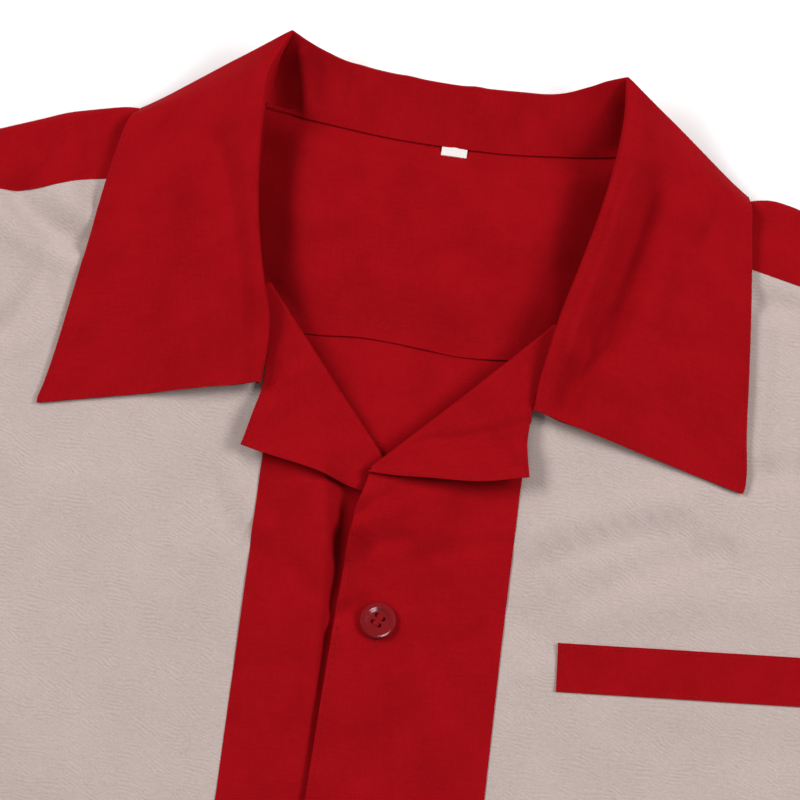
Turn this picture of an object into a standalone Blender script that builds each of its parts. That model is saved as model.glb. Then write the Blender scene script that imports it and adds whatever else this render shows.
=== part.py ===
"""Men's short-sleeved bowling shirt, size small, laid out flat with its front up.

Every piece of cloth is a closed wall made from a grid of points on the middle of the
cloth, thickened by a Solidify modifier.  X runs across the shirt towards the wearer's
left sleeve, Y runs from the hem to the collar, Z is up from the table.

The tables and the working sizes are in millimetres; MM turns them into the scene's
metres.  In the tables Y is measured from the line of the two collar peaks, so all of
the shirt has a negative Y, and FRAME_Y puts the middle of the shirt on the origin.
Sides are the wearer's: the right side is at negative X and the left side, which
buttons over it, at positive X.
"""
import math

import bmesh
import bpy
import numpy as np

MM = 0.001
FRAME_Y = 367.82            # from the collar peaks' line to the middle of the length

# --- cloth ---------------------------------------------------------------------
CLOTH = 1.0                 # wall of every cut piece
COLLAR_WALL = 1.4           # two layers with interlining
SEAM_GAP = 0.3              # between pieces that meet
ARM_GAP = 0.7               # between the sleeve and the body at the armhole
LAYER_GAP = 0.35            # between pieces that lie on each other
TABLE_LAYER = CLOTH / 2     # height of the middle of cloth that lies on the table

# --- body ----------------------------------------------------------------------
HEM_Y = -735.0
HEM_HALF = 262.0
YOKE_SEAM_Y = -121.5        # back yoke seam
YOKE_FRONT_NECK_Y = -58.0   # front yoke seam at the neckline
YOKE_COLLAR_LIFT = 1.7      # the yoke lies on the collar's fall near the neck
YOKE_LIFT_Y = (-84.0, -70.0)        # over which the yoke climbs on to the fall
YOKE_LIFT_X = (150.0, 134.0)
YOKE_SLACK = 0.5            # the inner yoke's hidden ends lie a little higher
YOKE_SLACK_X = (60.0, 90.0)
YOKE_ROWS = 4               # rows of points up the yoke's back
INNER_YOKE_INSET = 9.0      # of its ends from the shoulder fold
NECK_MARGIN = 0.9           # from the collar's foot to the yokes' neck edges
SLEEVE_OVERARM = (415.0, -180.5)    # cuff end of the sleeve's top fold
SLEEVE_UNDERARM = (322.5, -340.7)   # cuff end of the underarm fold
CUFF_HEIGHT = 3.4
ARM_HEIGHT = 2.9            # least height of the sleeve's top layer at the armhole

# Armhole from the shoulder tip to the underarm, the same on both sides (x, y).
ARMHOLE = (
    (220.0, -68.0),
    (216.4, -87.0),
    (210.0, -121.5),
    (207.5, -150.0),
    (208.0, -180.0),
    (213.0, -210.0),
    (223.0, -238.0),
    (238.0, -263.0),
    (258.0, -285.0),
)
YOKE_FRONT_ROW = 1          # rows of ARMHOLE where the yoke's seams meet it
YOKE_BACK_ROW = 2

# Shoulder fold, from beside the collar to the shoulder tip (x, y).
SHOULDER = (
    (82.0, -28.5),
    (101.0, -36.0),
    (120.5, -43.6),
    (139.5, -40.0),
    (156.0, -42.6),
    (184.0, -53.6),
    (220.0, -68.0),
)

# Seam between the centre panel and the side panel (y, right x, left x).
PANEL_SEAM = (
    (-113.0, -55.6, 50.5),
    (-176.0, -55.0, 50.0),
    (-240.0, -53.5, 51.0),
    (-314.0, -52.0, 53.0),
    (-735.0, -52.0, 53.0),
)
# Free front edges: the left front lies on the right one (y, right x, left x).
FRONT_EDGE = (
    (-193.0, 14.0, -16.4),
    (-212.0, 16.0, -16.5),
    (-735.0, 16.0, -16.0),
)

# --- lay of the front ------------------------------------------------------------
FRONT_LOFT = 2.7            # height of the front's cloth over the table
SHOULDER_RISE = 3.7         # more near the shoulders
RISE_FROM, RISE_TO = -190.0, -80.0
SIDE_HEIGHT = 1.9           # at the side seam, where front meets back
SIDE_ROUND = 26.0
SIDE_FROM, SIDE_TO = -235.0, -285.0     # over which the side seam's low edge sets in
NECK_SPREAD = 17.0          # how far the pull of the raised neck edge reaches
OVERLAP_LIFT = 1.5          # left front over the right front's edge
OVERLAP_FROM, OVERLAP_TO = 28.0, 17.0

# Neck and lapel edge of each front, from the shoulder to the first button (x, y, z).
NECK_EDGE = {
    "right": (
        (-82.5, -34.0, 6.6),
        (-82.0, -58.0, 8.0),
        (-77.4, -80.0, 9.4),
        (-71.4, -100.6, 10.6),
        (-60.0, -106.0, 11.2),
        (-25.2, -147.4, 6.0),
        (9.6, -188.7, 2.0),
    ),
    "left": (
        (78.5, -34.0, 6.6),
        (76.4, -58.0, 8.0),
        (70.6, -82.0, 9.4),
        (64.0, -101.8, 10.6),
        (52.4, -112.0, 11.2),
        (20.4, -144.0, 9.0),
        (-11.7, -176.0, 7.3),
    ),
}
LAPEL_ROW = 4               # row of NECK_EDGE where the lapel's roll begins
NECK_STEPS = 4              # along the side panel's neckline
SIDE_COLUMNS = 12           # across the side panel
PANEL_START = 14.0          # from the lapel's fold down the panel seam
TOP_WIDTH = 6.0             # of the centre panel's top, under the lapel
TOP_DROP = 5.0              # of the centre panel's top below the side panel's corner
HIDDEN_ROWS = 4             # rows of the panel seam under the lapel, which gape a little
HIDDEN_GAP = 0.9

# Soft folds of the fronts (x, y to x, y, half width, height).
FOLDS = {
    "right": (
        (-196.0, -240.0, -96.0, -330.0, 17.0, 2.2),
        (-232.0, -330.0, -176.0, -520.0, 20.0, 1.8),
        (-150.0, -430.0, -118.0, -660.0, 22.0, 1.6),
        (-92.0, -560.0, -84.0, -735.0, 18.0, 1.4),
        (-222.0, -600.0, -206.0, -735.0, 20.0, 1.8),
    ),
    "left": (
        (-8.0, -183.0, 12.0, -192.0, 15.0, 3.2),
        (205.0, -268.0, 128.0, -344.0, 16.0, 1.9),
        (228.0, -340.0, 190.0, -500.0, 20.0, 1.8),
        (132.0, -400.0, 152.0, -610.0, 24.0, 1.7),
        (88.0, -590.0, 96.0, -735.0, 18.0, 1.5),
        (214.0, -560.0, 222.0, -735.0, 19.0, 1.6),
    ),
}

# --- lapels ------------------------------------------------------------------------
LAPEL_FOLD = 1.4            # radius of the roll at the middle of the cloth
LAPEL_FOLD_END = 205.0      # degrees round the roll, from the top of the lapel at 90
LAPEL_STEPS = 10            # along the roll line
LAPEL_FROM, LAPEL_TO = 0.05, 0.97   # shares of the roll line that the lapel covers

# Outer edge of each lapel, from the roll line past the notch and the corner to the
# first button (x, y, lift off the front).
LAPEL_EDGE = {
    "right": (
        (-58.4, -111.6, 0.6),
        (-58.5, -121.0, 1.2),
        (-58.2, -134.0, 1.8),
        (-59.0, -147.6, 2.6),
        (-61.4, -160.0, 3.0),
        (-63.6, -171.8, 3.2),
        (-50.0, -174.9, 2.9),
        (-36.0, -177.7, 2.3),
        (-21.0, -181.4, 1.1),
        (-7.0, -184.7, 0.4),
        (5.6, -187.6, 0.2),
    ),
    "left": (
        (50.8, -117.0, 0.6),
        (51.4, -125.0, 1.2),
        (51.2, -134.0, 1.8),
        (51.2, -143.2, 2.6),
        (49.7, -156.0, 3.2),
        (51.7, -168.6, 3.6),
        (38.0, -172.5, 3.8),
        (25.0, -174.3, 3.4),
        (12.0, -175.1, 2.4),
        (2.0, -175.6, 1.2),
        (-7.8, -175.9, 0.4),
    ),
}

# --- collar ---------------------------------------------------------------------
ROLL = 2.2                  # radius of the roll at the middle of the cloth
NOTCH_ROLL = 1.3            # smaller at the notch
NOTCH_ROWS = 3              # rows over which the roll opens
SHOULDER_ROW = 8            # row of the collar peak in COLLAR
TUCK_ROWS = 2.5             # rows over which the fall turns under the back
PEAK_STAND_OUT = 0.7        # share of the stand-out that the fall has at the peak
STAND_STEPS = 3
ROLL_TOP = 0.6              # from the roll line down to the middle of the stand's top
NEAR_ROLL = 0.34            # share of the fall that stands out next to the roll

# Sections of the collar from the notch to the peak: the neck seam, the roll line and
# the outer edge (neck x, y, z, roll x, y, z, edge x, y, z).
COLLAR = {
    "right": (
        (-61.6, -146.5, 8.6, -59.4, -146.4, 10.7, -148.3, -166.6, 5.2),
        (-62.0, -133.0, 10.0, -58.7, -133.0, 12.6, -147.0, -156.0, 5.8),
        (-64.0, -117.0, 12.2, -59.7, -119.0, 15.4, -144.4, -140.0, 7.2),
        (-69.0, -100.0, 12.2, -64.5, -104.0, 18.2, -141.4, -116.4, 8.8),
        (-76.0, -80.0, 10.2, -70.4, -80.0, 21.2, -138.8, -95.0, 9.6),
        (-80.2, -58.0, 8.2, -74.0, -54.0, 22.8, -136.8, -74.0, 9.9),
        (-81.0, -42.0, 7.2, -75.0, -34.0, 23.6, -134.4, -57.0, 10.2),
        (-79.6, -31.6, 6.6, -71.8, -19.0, 24.2, -131.4, -43.6, 10.2),
        (-75.6, -28.8, 5.8, -64.4, -5.4, 25.0, -128.0, -37.0, 5.4),
        (-71.6, -29.2, 5.2, -61.6, -7.0, 24.8, -125.4, -37.6, 0.8),
        (-62.0, -30.4, 4.7, -54.6, -9.2, 24.4, -116.0, -45.0, 0.7),
        (-46.0, -32.0, 4.2, -42.0, -13.0, 23.6, -90.0, -53.0, 0.7),
        (-24.0, -33.8, 3.9, -24.0, -14.6, 23.0, -48.0, -60.0, 0.7),
    ),
    "left": (
        (54.0, -142.0, 8.6, 51.7, -141.9, 10.7, 139.2, -162.8, 5.2),
        (55.0, -129.5, 10.0, 51.8, -130.0, 12.6, 139.2, -153.0, 5.8),
        (57.4, -115.6, 12.2, 52.8, -117.4, 15.2, 137.2, -138.0, 7.2),
        (61.6, -100.0, 12.2, 55.8, -101.6, 18.0, 135.2, -113.0, 8.8),
        (69.2, -82.0, 10.2, 60.8, -82.0, 20.8, 133.4, -92.0, 9.6),
        (74.8, -58.0, 8.2, 66.2, -58.0, 22.6, 131.2, -70.0, 9.9),
        (76.8, -42.0, 7.2, 69.4, -38.0, 23.6, 129.4, -55.0, 10.2),
        (76.0, -31.8, 6.6, 69.0, -20.0, 24.2, 128.2, -45.0, 10.2),
        (72.6, -29.0, 5.8, 64.6, -5.2, 25.0, 126.6, -39.2, 5.4),
        (68.6, -29.4, 5.2, 61.8, -6.8, 24.8, 124.4, -39.6, 0.8),
        (59.6, -30.6, 4.7, 55.4, -9.0, 24.4, 115.0, -47.0, 0.7),
        (45.0, -32.2, 4.2, 43.0, -13.0, 23.6, 90.0, -54.0, 0.7),
        (24.0, -34.0, 3.9, 25.0, -15.2, 23.0, 48.0, -60.4, 0.7),
    ),
}
COLLAR_BACK = (0.0, -34.4, 3.8, 0.0, -16.2, 22.6, 0.0, -62.0, 0.7)

# The fall from the roll to its outer edge: share of the way, share of the drop where it
# lies over the front, share of the drop under the back, and how far it stands out there.
FALL = (
    (0.00, 0.000, 0.00, 0.0),
    (0.06, 0.045, 0.36, 5.5),
    (0.17, 0.200, 0.70, 7.4),
    (0.34, 0.470, 0.95, 9.4),
    (0.56, 0.740, 1.00, 6.5),
    (0.78, 0.910, 1.00, 3.2),
    (1.00, 1.000, 1.00, 0.0),
)

# --- small pieces -------------------------------------------------------------------
WELT_CORNER = (73.1, -232.8)    # upper inner corner, on the left front
WELT_SIZE = (115.0, 19.4)
WELT_TILT = 4.7                 # degrees
TAB_SIZE = (10.6, 4.4)
TAB_X = 3.7
TAB_TOP_Y = -35.6
BUTTON_X = 1.0
BUTTON_TOP_Y = -234.5
BUTTON_PITCH = 90.0
BUTTON_COUNT = 5
BUTTON_SEAT = 5.1               # height of a button's underside
BUTTON_SIDES = 24
BUTTON_HOLES = 4
BUTTON_HOLE_RADIUS = 0.95
BUTTON_HOLE_PLACE = 1.75        # from the centre
# Turned profile of a button (radius, height).
BUTTON_PROFILE = (
    (6.3, 0.0),
    (7.3, 0.8),
    (7.4, 1.9),
    (6.9, 2.6),
    (6.1, 2.7),
    (5.4, 2.1),
    (4.2, 1.7),
)

# Colours as (red, green, blue), roughness.
RED = ((0.35, 0.004, 0.008), 0.85)
RED_DEEP = ((0.27, 0.003, 0.006), 0.85)
BEIGE = ((0.53, 0.43, 0.40), 0.9)
WHITE = ((0.85, 0.85, 0.83), 0.8)
GLOSS_RED = ((0.30, 0.004, 0.008), 0.2)


# --- curves and blends ----------------------------------------------------------
def smooth(share):
    """Ease from 0 to 1 while share goes from 0 to 1."""
    share = np.clip(share, 0.0, 1.0)
    return share * share * (3.0 - 2.0 * share)


def ramp(value, limits):
    """Ease from 0 to 1 while value goes from the first limit to the second."""
    return smooth((value - limits[0]) / (limits[1] - limits[0]))


def mix(first, second, share):
    return first + (second - first) * share


def spline(rows, count):
    """Catmull-Rom curve through the rows, with count steps between two rows."""
    rows = np.asarray(rows, float)
    before = 2.0 * rows[:1] - rows[1:2]
    after = 2.0 * rows[-1:] - rows[-2:-1]
    knots = np.concatenate([before, rows, after])
    points = []
    for i in range(len(rows) - 1):
        a, b, c, d = knots[i:i + 4]
        for step in range(count):
            t = step / count
            points.append(0.5 * (2 * b + (c - a) * t + (2 * a - 5 * b + 4 * c - d) * t ** 2
                                 + (3 * b - a - 3 * c + d) * t ** 3))
    points.append(rows[-1])
    return np.array(points)


def along(rows, count):
    """Count + 1 points evenly spaced along the straight runs through the rows."""
    rows = np.asarray(rows, float)
    runs = np.linalg.norm(np.diff(rows[:, :2], axis=0), axis=1)
    reach = np.concatenate([[0.0], np.cumsum(runs)])
    places = np.linspace(0.0, reach[-1], count + 1)
    columns = [np.interp(places, reach, rows[:, k]) for k in range(rows.shape[1])]
    return np.stack(columns, axis=1)


def side_sign(side):
    return -1.0 if side == "right" else 1.0


def column_at(table, y, side):
    """The x of a seam or an edge at y, from a table of (y, right x, left x)."""
    rows = np.asarray(table)[::-1]
    return np.interp(y, rows[:, 0], rows[:, 1 if side == "right" else 2])


# --- height of the cloth -----------------------------------------------------------
def nearest_on_edge(x, y, edge):
    """Distance to the edge in plan, and the edge's height at the nearest point."""
    best = np.full(np.shape(x), np.inf)
    height = np.zeros(np.shape(x))
    for a, b in zip(edge[:-1], edge[1:]):
        run = (b[0] - a[0], b[1] - a[1])
        share = ((x - a[0]) * run[0] + (y - a[1]) * run[1]) / (run[0] ** 2 + run[1] ** 2)
        share = np.clip(share, 0.0, 1.0)
        away = np.hypot(x - a[0] - share * run[0], y - a[1] - share * run[1])
        closer = away < best
        height = np.where(closer, mix(a[2], b[2], share), height)
        best = np.where(closer, away, best)
    return best, height


def fold_height(x, y, fold):
    """A soft ridge that fades at both ends."""
    x0, y0, x1, y1, half_width, height = fold
    run = (x1 - x0, y1 - y0)
    share = ((x - x0) * run[0] + (y - y0) * run[1]) / (run[0] ** 2 + run[1] ** 2)
    inside = np.clip(share, 0.0, 1.0)
    away = np.hypot(x - x0 - inside * run[0], y - y0 - inside * run[1])
    return height * np.exp(-(away / half_width) ** 2)


def side_drop(x, y):
    """Share of its loft that the front keeps near the side seam."""
    down = np.clip((y - ARMHOLE[-1][1]) / (HEM_Y - ARMHOLE[-1][1]), 0.0, 1.0)
    half = mix(ARMHOLE[-1][0], HEM_HALF, down)
    kept = smooth((half - np.abs(x)) / SIDE_ROUND)
    below_arm = smooth((y - SIDE_FROM) / (SIDE_TO - SIDE_FROM))
    return mix(1.0, kept, below_arm)


def front_height(x, y, side):
    """Height of the middle of the front's cloth."""
    x, y = np.asarray(x, float), np.asarray(y, float)
    height = FRONT_LOFT + SHOULDER_RISE * smooth((y - RISE_FROM) / (RISE_TO - RISE_FROM))
    if side == "left":
        height = height + OVERLAP_LIFT * smooth((OVERLAP_FROM - x) / (OVERLAP_FROM - OVERLAP_TO))
    for fold in FOLDS[side]:
        height = height + fold_height(x, y, fold)
    away, edge_height = nearest_on_edge(x, y, NECK_EDGE[side])
    height = mix(height, edge_height, np.exp(-(away / NECK_SPREAD) ** 2))
    return mix(SIDE_HEIGHT, height, side_drop(x, y))


def yoke_back_height(x, y):
    """Height of the outer yoke's back, which lies on the collar's fall near the neck."""
    over_fall = ramp(y, YOKE_LIFT_Y) * ramp(np.abs(x), YOKE_LIFT_X)
    return TABLE_LAYER + YOKE_COLLAR_LIFT * over_fall


# --- meshes ---------------------------------------------------------------------
def clear_scene():
    for item in list(bpy.data.objects):
        bpy.data.objects.remove(item, do_unlink=True)


def make_material(name, finish):
    colour, roughness = finish
    material = bpy.data.materials.new(name)
    material.use_nodes = True
    shader = material.node_tree.nodes["Principled BSDF"]
    shader.inputs["Base Color"].default_value = (*colour, 1.0)
    shader.inputs["Roughness"].default_value = roughness
    shader.inputs["Metallic"].default_value = 0.0
    return material


def place_object(name, mesh, finish):
    item = bpy.data.objects.new(name, mesh)
    item.data.materials.append(make_material(name, finish))
    bpy.context.scene.collection.objects.link(item)
    return item


def shade(mesh):
    mesh.shade_smooth()
    mesh.set_sharp_from_angle(angle=math.radians(40.0))


def add_patch(shell, grid, ring=False):
    """Add a grid of points in rows and columns to the shell; a ring closes on itself."""
    rows, columns = grid.shape[:2]
    corners = [[shell.verts.new((p[0] * MM, (p[1] + FRAME_Y) * MM, p[2] * MM)) for p in row]
               for row in grid]
    last = columns if ring else columns - 1
    for i in range(rows - 1):
        for j in range(last):
            k = (j + 1) % columns
            shell.faces.new((corners[i][j], corners[i][k], corners[i + 1][k], corners[i + 1][j]))


def make_cloth(name, patches, finish, wall=CLOTH, ring=False):
    """Sew the patches into one sheet and give it its wall."""
    shell = bmesh.new()
    for grid in patches:
        add_patch(shell, grid, ring)
    bmesh.ops.remove_doubles(shell, verts=shell.verts, dist=0.02 * MM)
    bmesh.ops.recalc_face_normals(shell, faces=shell.faces)
    mesh = bpy.data.meshes.new(name)
    shell.to_mesh(mesh)
    shell.free()
    shade(mesh)
    item = place_object(name, mesh, finish)
    solidify = item.modifiers.new("wall", "SOLIDIFY")
    solidify.thickness = wall * MM
    solidify.offset = 0.0
    return item


def plan_grid(inner, outer, columns):
    """Rows from the inner edge to the outer edge, in plan (x, y)."""
    shares = np.linspace(0.0, 1.0, columns + 1)[None, :, None]
    return mix(np.asarray(inner, float)[:, None, :2], np.asarray(outer, float)[:, None, :2], shares)


def with_height(plan, height):
    return np.concatenate([plan, np.broadcast_to(height, plan.shape[:2])[..., None]], axis=2)


# --- back ------------------------------------------------------------------------
def body_side(first_row, sign, steps):
    """Edge of the body from a row of the armhole down the side seam to the hem."""
    seam = along((ARMHOLE[-1], (HEM_HALF, HEM_Y)), steps)
    edge = np.concatenate([np.array(ARMHOLE[first_row:-1]), seam])
    edge[0, 1] -= SEAM_GAP
    return edge * (sign, 1.0)


def make_back():
    right = body_side(YOKE_BACK_ROW, -1.0, 6)
    left = body_side(YOKE_BACK_ROW, 1.0, 6)
    plan = plan_grid(right, left, 8)
    make_cloth("back", [with_height(plan, TABLE_LAYER)], RED_DEEP)


# --- yokes -----------------------------------------------------------------------
def neck_chain():
    """All the collar's sections from the right notch round the back to the left one."""
    right = list(COLLAR["right"])
    left = list(COLLAR["left"])
    return np.array(right + [COLLAR_BACK] + left[::-1])


def back_neck():
    """Neck edge of the yokes across the back, below the collar's foot."""
    chain = neck_chain()
    return chain[SHOULDER_ROW:len(chain) - SHOULDER_ROW, :2] - (0.0, NECK_MARGIN)


def yoke_centre():
    neck = back_neck()
    seam = np.stack([neck[:, 0], np.full(len(neck), YOKE_SEAM_Y)], axis=1)
    plan = np.stack([mix(seam, neck, i / YOKE_ROWS) for i in range(YOKE_ROWS + 1)])
    return with_height(plan, yoke_back_height(plan[..., 0], plan[..., 1]))


def yoke_arm(side, columns=7, turn_steps=5, front_rows=2):
    """One side of the yoke: up the back, over the shoulder fold and down the front."""
    sign = side_sign(side)
    neck = back_neck()[0 if side == "right" else -1]
    fold = along(SHOULDER, columns) * (sign, 1.0)
    neck_fold = NECK_EDGE[side][0]
    fold[0] = (neck_fold[0], SHOULDER[0][1])
    low_seam = along(((abs(neck[0]), YOKE_SEAM_Y), ARMHOLE[YOKE_BACK_ROW]), columns) * (sign, 1.0)
    front_neck = NECK_EDGE[side][1]
    front_seam = along(((abs(front_neck[0]), YOKE_FRONT_NECK_Y), ARMHOLE[YOKE_FRONT_ROW]), columns)
    front_seam = front_seam * (sign, 1.0)

    low = yoke_back_height(fold[:, 0], fold[:, 1])
    high = front_height(fold[:, 0], fold[:, 1], side)
    radius = (high - low) / 2.0
    down = np.array([0.0, -1.0])
    centre = fold + down * radius[:, None]
    rows = []
    neck_row = centre.copy()
    neck_row[0] = neck
    for i in range(YOKE_ROWS):
        plan = mix(low_seam, neck_row, i / YOKE_ROWS)
        rows.append(with_height(plan[None], yoke_back_height(plan[:, 0], plan[:, 1]))[0])
    for i in range(turn_steps + 1):
        angle = math.pi * (i / turn_steps) - math.pi / 2
        plan = centre + np.outer(radius * math.cos(angle), (0.0, 1.0))
        if i == 0:
            plan[0] = neck
        height = (low + high) / 2.0 + radius * math.sin(angle)
        rows.append(np.column_stack([plan, height]))
    for i in range(1, front_rows + 1):
        plan = mix(centre, front_seam, i / front_rows)
        rows.append(np.column_stack([plan, front_height(plan[:, 0], plan[:, 1], side)]))
    return np.array(rows)


def make_yoke():
    make_cloth("yoke", [yoke_centre(), yoke_arm("right"), yoke_arm("left")], RED)


def make_inner_yoke():
    """It lies on the outer yoke, between the neck seam, the shoulders and the yoke seam."""
    arms = np.array(SHOULDER)[1:] - (0.0, INNER_YOKE_INSET)
    arms[-1, 0] -= INNER_YOKE_INSET
    neck = back_neck()
    top = np.concatenate([arms[::-1] * (-1.0, 1.0), neck, arms])
    bottom = top.copy()
    bottom[:, 1] = YOKE_SEAM_Y
    plan = np.stack([mix(bottom, top, i / YOKE_ROWS) for i in range(YOKE_ROWS + 1)])
    height = yoke_back_height(plan[..., 0], plan[..., 1]) + CLOTH + LAYER_GAP
    height = height + YOKE_SLACK * ramp(np.abs(plan[..., 0]), YOKE_SLACK_X)
    make_cloth("yoke_inner", [with_height(plan, height)], RED)


# --- fronts ----------------------------------------------------------------------
def roll_line(side, count):
    """Lapel roll line from the neck to the first button, as edge of the fold."""
    return along((NECK_EDGE[side][LAPEL_ROW], NECK_EDGE[side][-1]), count)


def away_from_neck(side):
    """Unit vector in plan from the roll line towards the lapel's corner."""
    line = roll_line(side, 1)
    run = (line[1] - line[0])[:2]
    run = run / np.linalg.norm(run)
    normal = np.array([run[1], -run[0]])
    return normal if normal[0] * side_sign(side) > 0 else -normal


def front_fold_edge(side, count):
    """The front's edge inside the lapel's fold."""
    line = roll_line(side, count)[:, :2]
    return line + away_from_neck(side) * (LAPEL_FOLD + CLOTH / 2 + SEAM_GAP)


def seam_corner(side):
    """Where the panel seam meets the lapel's fold."""
    edge = front_fold_edge(side, 60)
    seam_x = column_at(PANEL_SEAM, edge[:, 1], side)
    inside = np.argmax((edge[:, 0] - seam_x) * side_sign(side) < 0)
    return edge[inside]


def make_front_side(side):
    sign = side_sign(side)
    arm_rows = len(ARMHOLE) - YOKE_FRONT_ROW - 1
    hem_rows = 12
    outer = body_side(YOKE_FRONT_ROW, sign, hem_rows)
    corner = seam_corner(side)
    neck = np.array(NECK_EDGE[side])[1:LAPEL_ROW, :2]
    neck[0, 1] -= SEAM_GAP
    fold_top = front_fold_edge(side, 20)[1]
    neckline = along(np.concatenate([neck, [fold_top], [corner]]), NECK_STEPS)
    start_y = corner[1] - PANEL_START
    down_y = np.concatenate([np.linspace(start_y, ARMHOLE[-1][1], arm_rows - NECK_STEPS),
                             np.linspace(ARMHOLE[-1][1], HEM_Y, hem_rows + 1)[1:]])
    seam = np.column_stack([column_at(PANEL_SEAM, down_y, side), down_y])
    inner = np.concatenate([neckline, seam])
    inner[NECK_STEPS:, 0] += sign * SEAM_GAP / 2
    plan = plan_grid(inner, outer, SIDE_COLUMNS)
    height = front_height(plan[..., 0], plan[..., 1], side)
    make_cloth("front_side_" + side, [with_height(plan, height)], BEIGE)


def make_front_centre(side):
    sign = side_sign(side)
    corner = seam_corner(side)
    fold_rows, down_rows = 6, 15
    line = front_fold_edge(side, 60)
    start = int(np.argmax((line[:, 0] - corner[0]) * sign < -TOP_WIDTH))
    fold = along(line[start:], fold_rows)
    top_y = FRONT_EDGE[0][0]
    free_y = np.linspace(BUTTON_TOP_Y, HEM_Y, down_rows - 1)
    free_y = np.concatenate([[top_y, FRONT_EDGE[1][0]], free_y])
    free = np.column_stack([column_at(FRONT_EDGE, free_y, side), free_y])
    inner = np.concatenate([fold, free])
    seam_y = np.linspace(corner[1] - TOP_DROP, top_y + TOP_DROP, fold_rows + 1)
    seam_y = np.concatenate([seam_y, free_y])
    seam_x = column_at(PANEL_SEAM, seam_y, side) - sign * SEAM_GAP / 2
    seam_x[:HIDDEN_ROWS] -= sign * HIDDEN_GAP
    plan = plan_grid(inner, np.column_stack([seam_x, seam_y]), 6)
    height = front_height(plan[..., 0], plan[..., 1], side)
    make_cloth("front_centre_" + side, [with_height(plan, height)], RED)


# --- lapels --------------------------------------------------------------------------
def make_lapel(side, across=5):
    """Turned-back facing: round the front's edge at the roll line, then out to its edge."""
    out = away_from_neck(side)
    neck, button = roll_line(side, 1)
    shares = np.linspace(LAPEL_FROM, LAPEL_TO, LAPEL_STEPS + 1)[:, None]
    line = mix(neck, button, shares)
    edge = np.array(LAPEL_EDGE[side])
    centre = line[:, :2] + out * (LAPEL_FOLD + CLOTH / 2)
    base = front_height(centre[:, 0], centre[:, 1], side)
    columns = []
    turn_steps = 4
    for i in range(turn_steps):
        angle = math.radians(mix(LAPEL_FOLD_END, 90.0, i / turn_steps))
        plan = centre + out * LAPEL_FOLD * math.cos(angle)
        columns.append(np.column_stack([plan, base + LAPEL_FOLD * math.sin(angle)]))
    for i in range(across + 1):
        share = i / across
        plan = mix(centre, edge[:, :2], share)
        lift = edge[:, 2] * smooth(share * 0.85) / smooth(0.85)
        height = front_height(plan[:, 0], plan[:, 1], side) + LAPEL_FOLD + lift
        columns.append(np.column_stack([plan, height]))
    make_cloth("lapel_" + side, [np.array(columns)], RED)


# --- collar --------------------------------------------------------------------------
def inward_directions(chain):
    """Unit vectors in plan from the roll line towards the middle of the neck."""
    run = np.diff(chain[:, 3:5], axis=0)
    run = run / np.linalg.norm(run, axis=1)[:, None]
    run = np.concatenate([run[:1], run[:-1] + run[1:], run[-1:]])
    normal = np.column_stack([run[:, 1], -run[:, 0]])
    return normal / np.linalg.norm(normal, axis=1)[:, None]


def collar_section(row, inward, radius, from_peak):
    """One section of the collar, from the neck seam over the roll to the outer edge.

    From_peak counts the rows past the collar's peak, where the fall lies under the back.
    """
    neck, roll, edge = row[0:3], row[3:6], row[6:9]
    centre = roll[:2] - inward * (radius + COLLAR_WALL / 2)
    middle = roll[2] - ROLL_TOP
    inner = np.array([*(centre + inward * radius), middle])
    points = [mix(neck, inner, i / STAND_STEPS) for i in range(STAND_STEPS)]
    for angle in (0.0, 45.0):
        turn = math.radians(angle)
        plan = centre + inward * radius * math.cos(turn)
        points.append(np.array([*plan, middle + radius * math.sin(turn)]))
    top = middle + radius
    held_back = min(1.0, max(0.0, from_peak / TUCK_ROWS))
    for share, drop_front, drop_back, stand_out in FALL:
        plan = mix(centre, edge[:2], share)
        if from_peak > 0:
            drop = drop_back
            plan = plan - inward * stand_out * mix(1.0, held_back, min(1.0, share / NEAR_ROLL))
        else:
            drop = drop_front
            if from_peak == 0:
                plan = plan - inward * stand_out * PEAK_STAND_OUT * (1.0 - share)
        points.append(np.array([*plan, mix(top, edge[2], drop)]))
    return points


def make_collar():
    chain = neck_chain()
    inward = inward_directions(chain)
    last = len(chain) - 1
    sections = []
    for i, row in enumerate(chain):
        from_notch = min(i, last - i)
        radius = mix(NOTCH_ROLL, ROLL, min(1.0, from_notch / NOTCH_ROWS))
        sections.append(collar_section(row, inward[i], radius, from_notch - SHOULDER_ROW))
    sections = np.array(sections)
    right = spline(sections[:SHOULDER_ROW + 1], 2)
    back = spline(sections[SHOULDER_ROW:last - SHOULDER_ROW + 1], 2)
    left = spline(sections[last - SHOULDER_ROW:], 2)
    grid = np.concatenate([right, back[1:-1], left])
    grid[..., 2] = np.maximum(grid[..., 2], COLLAR_WALL / 2)
    make_cloth("collar", [grid], RED, wall=COLLAR_WALL)


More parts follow.
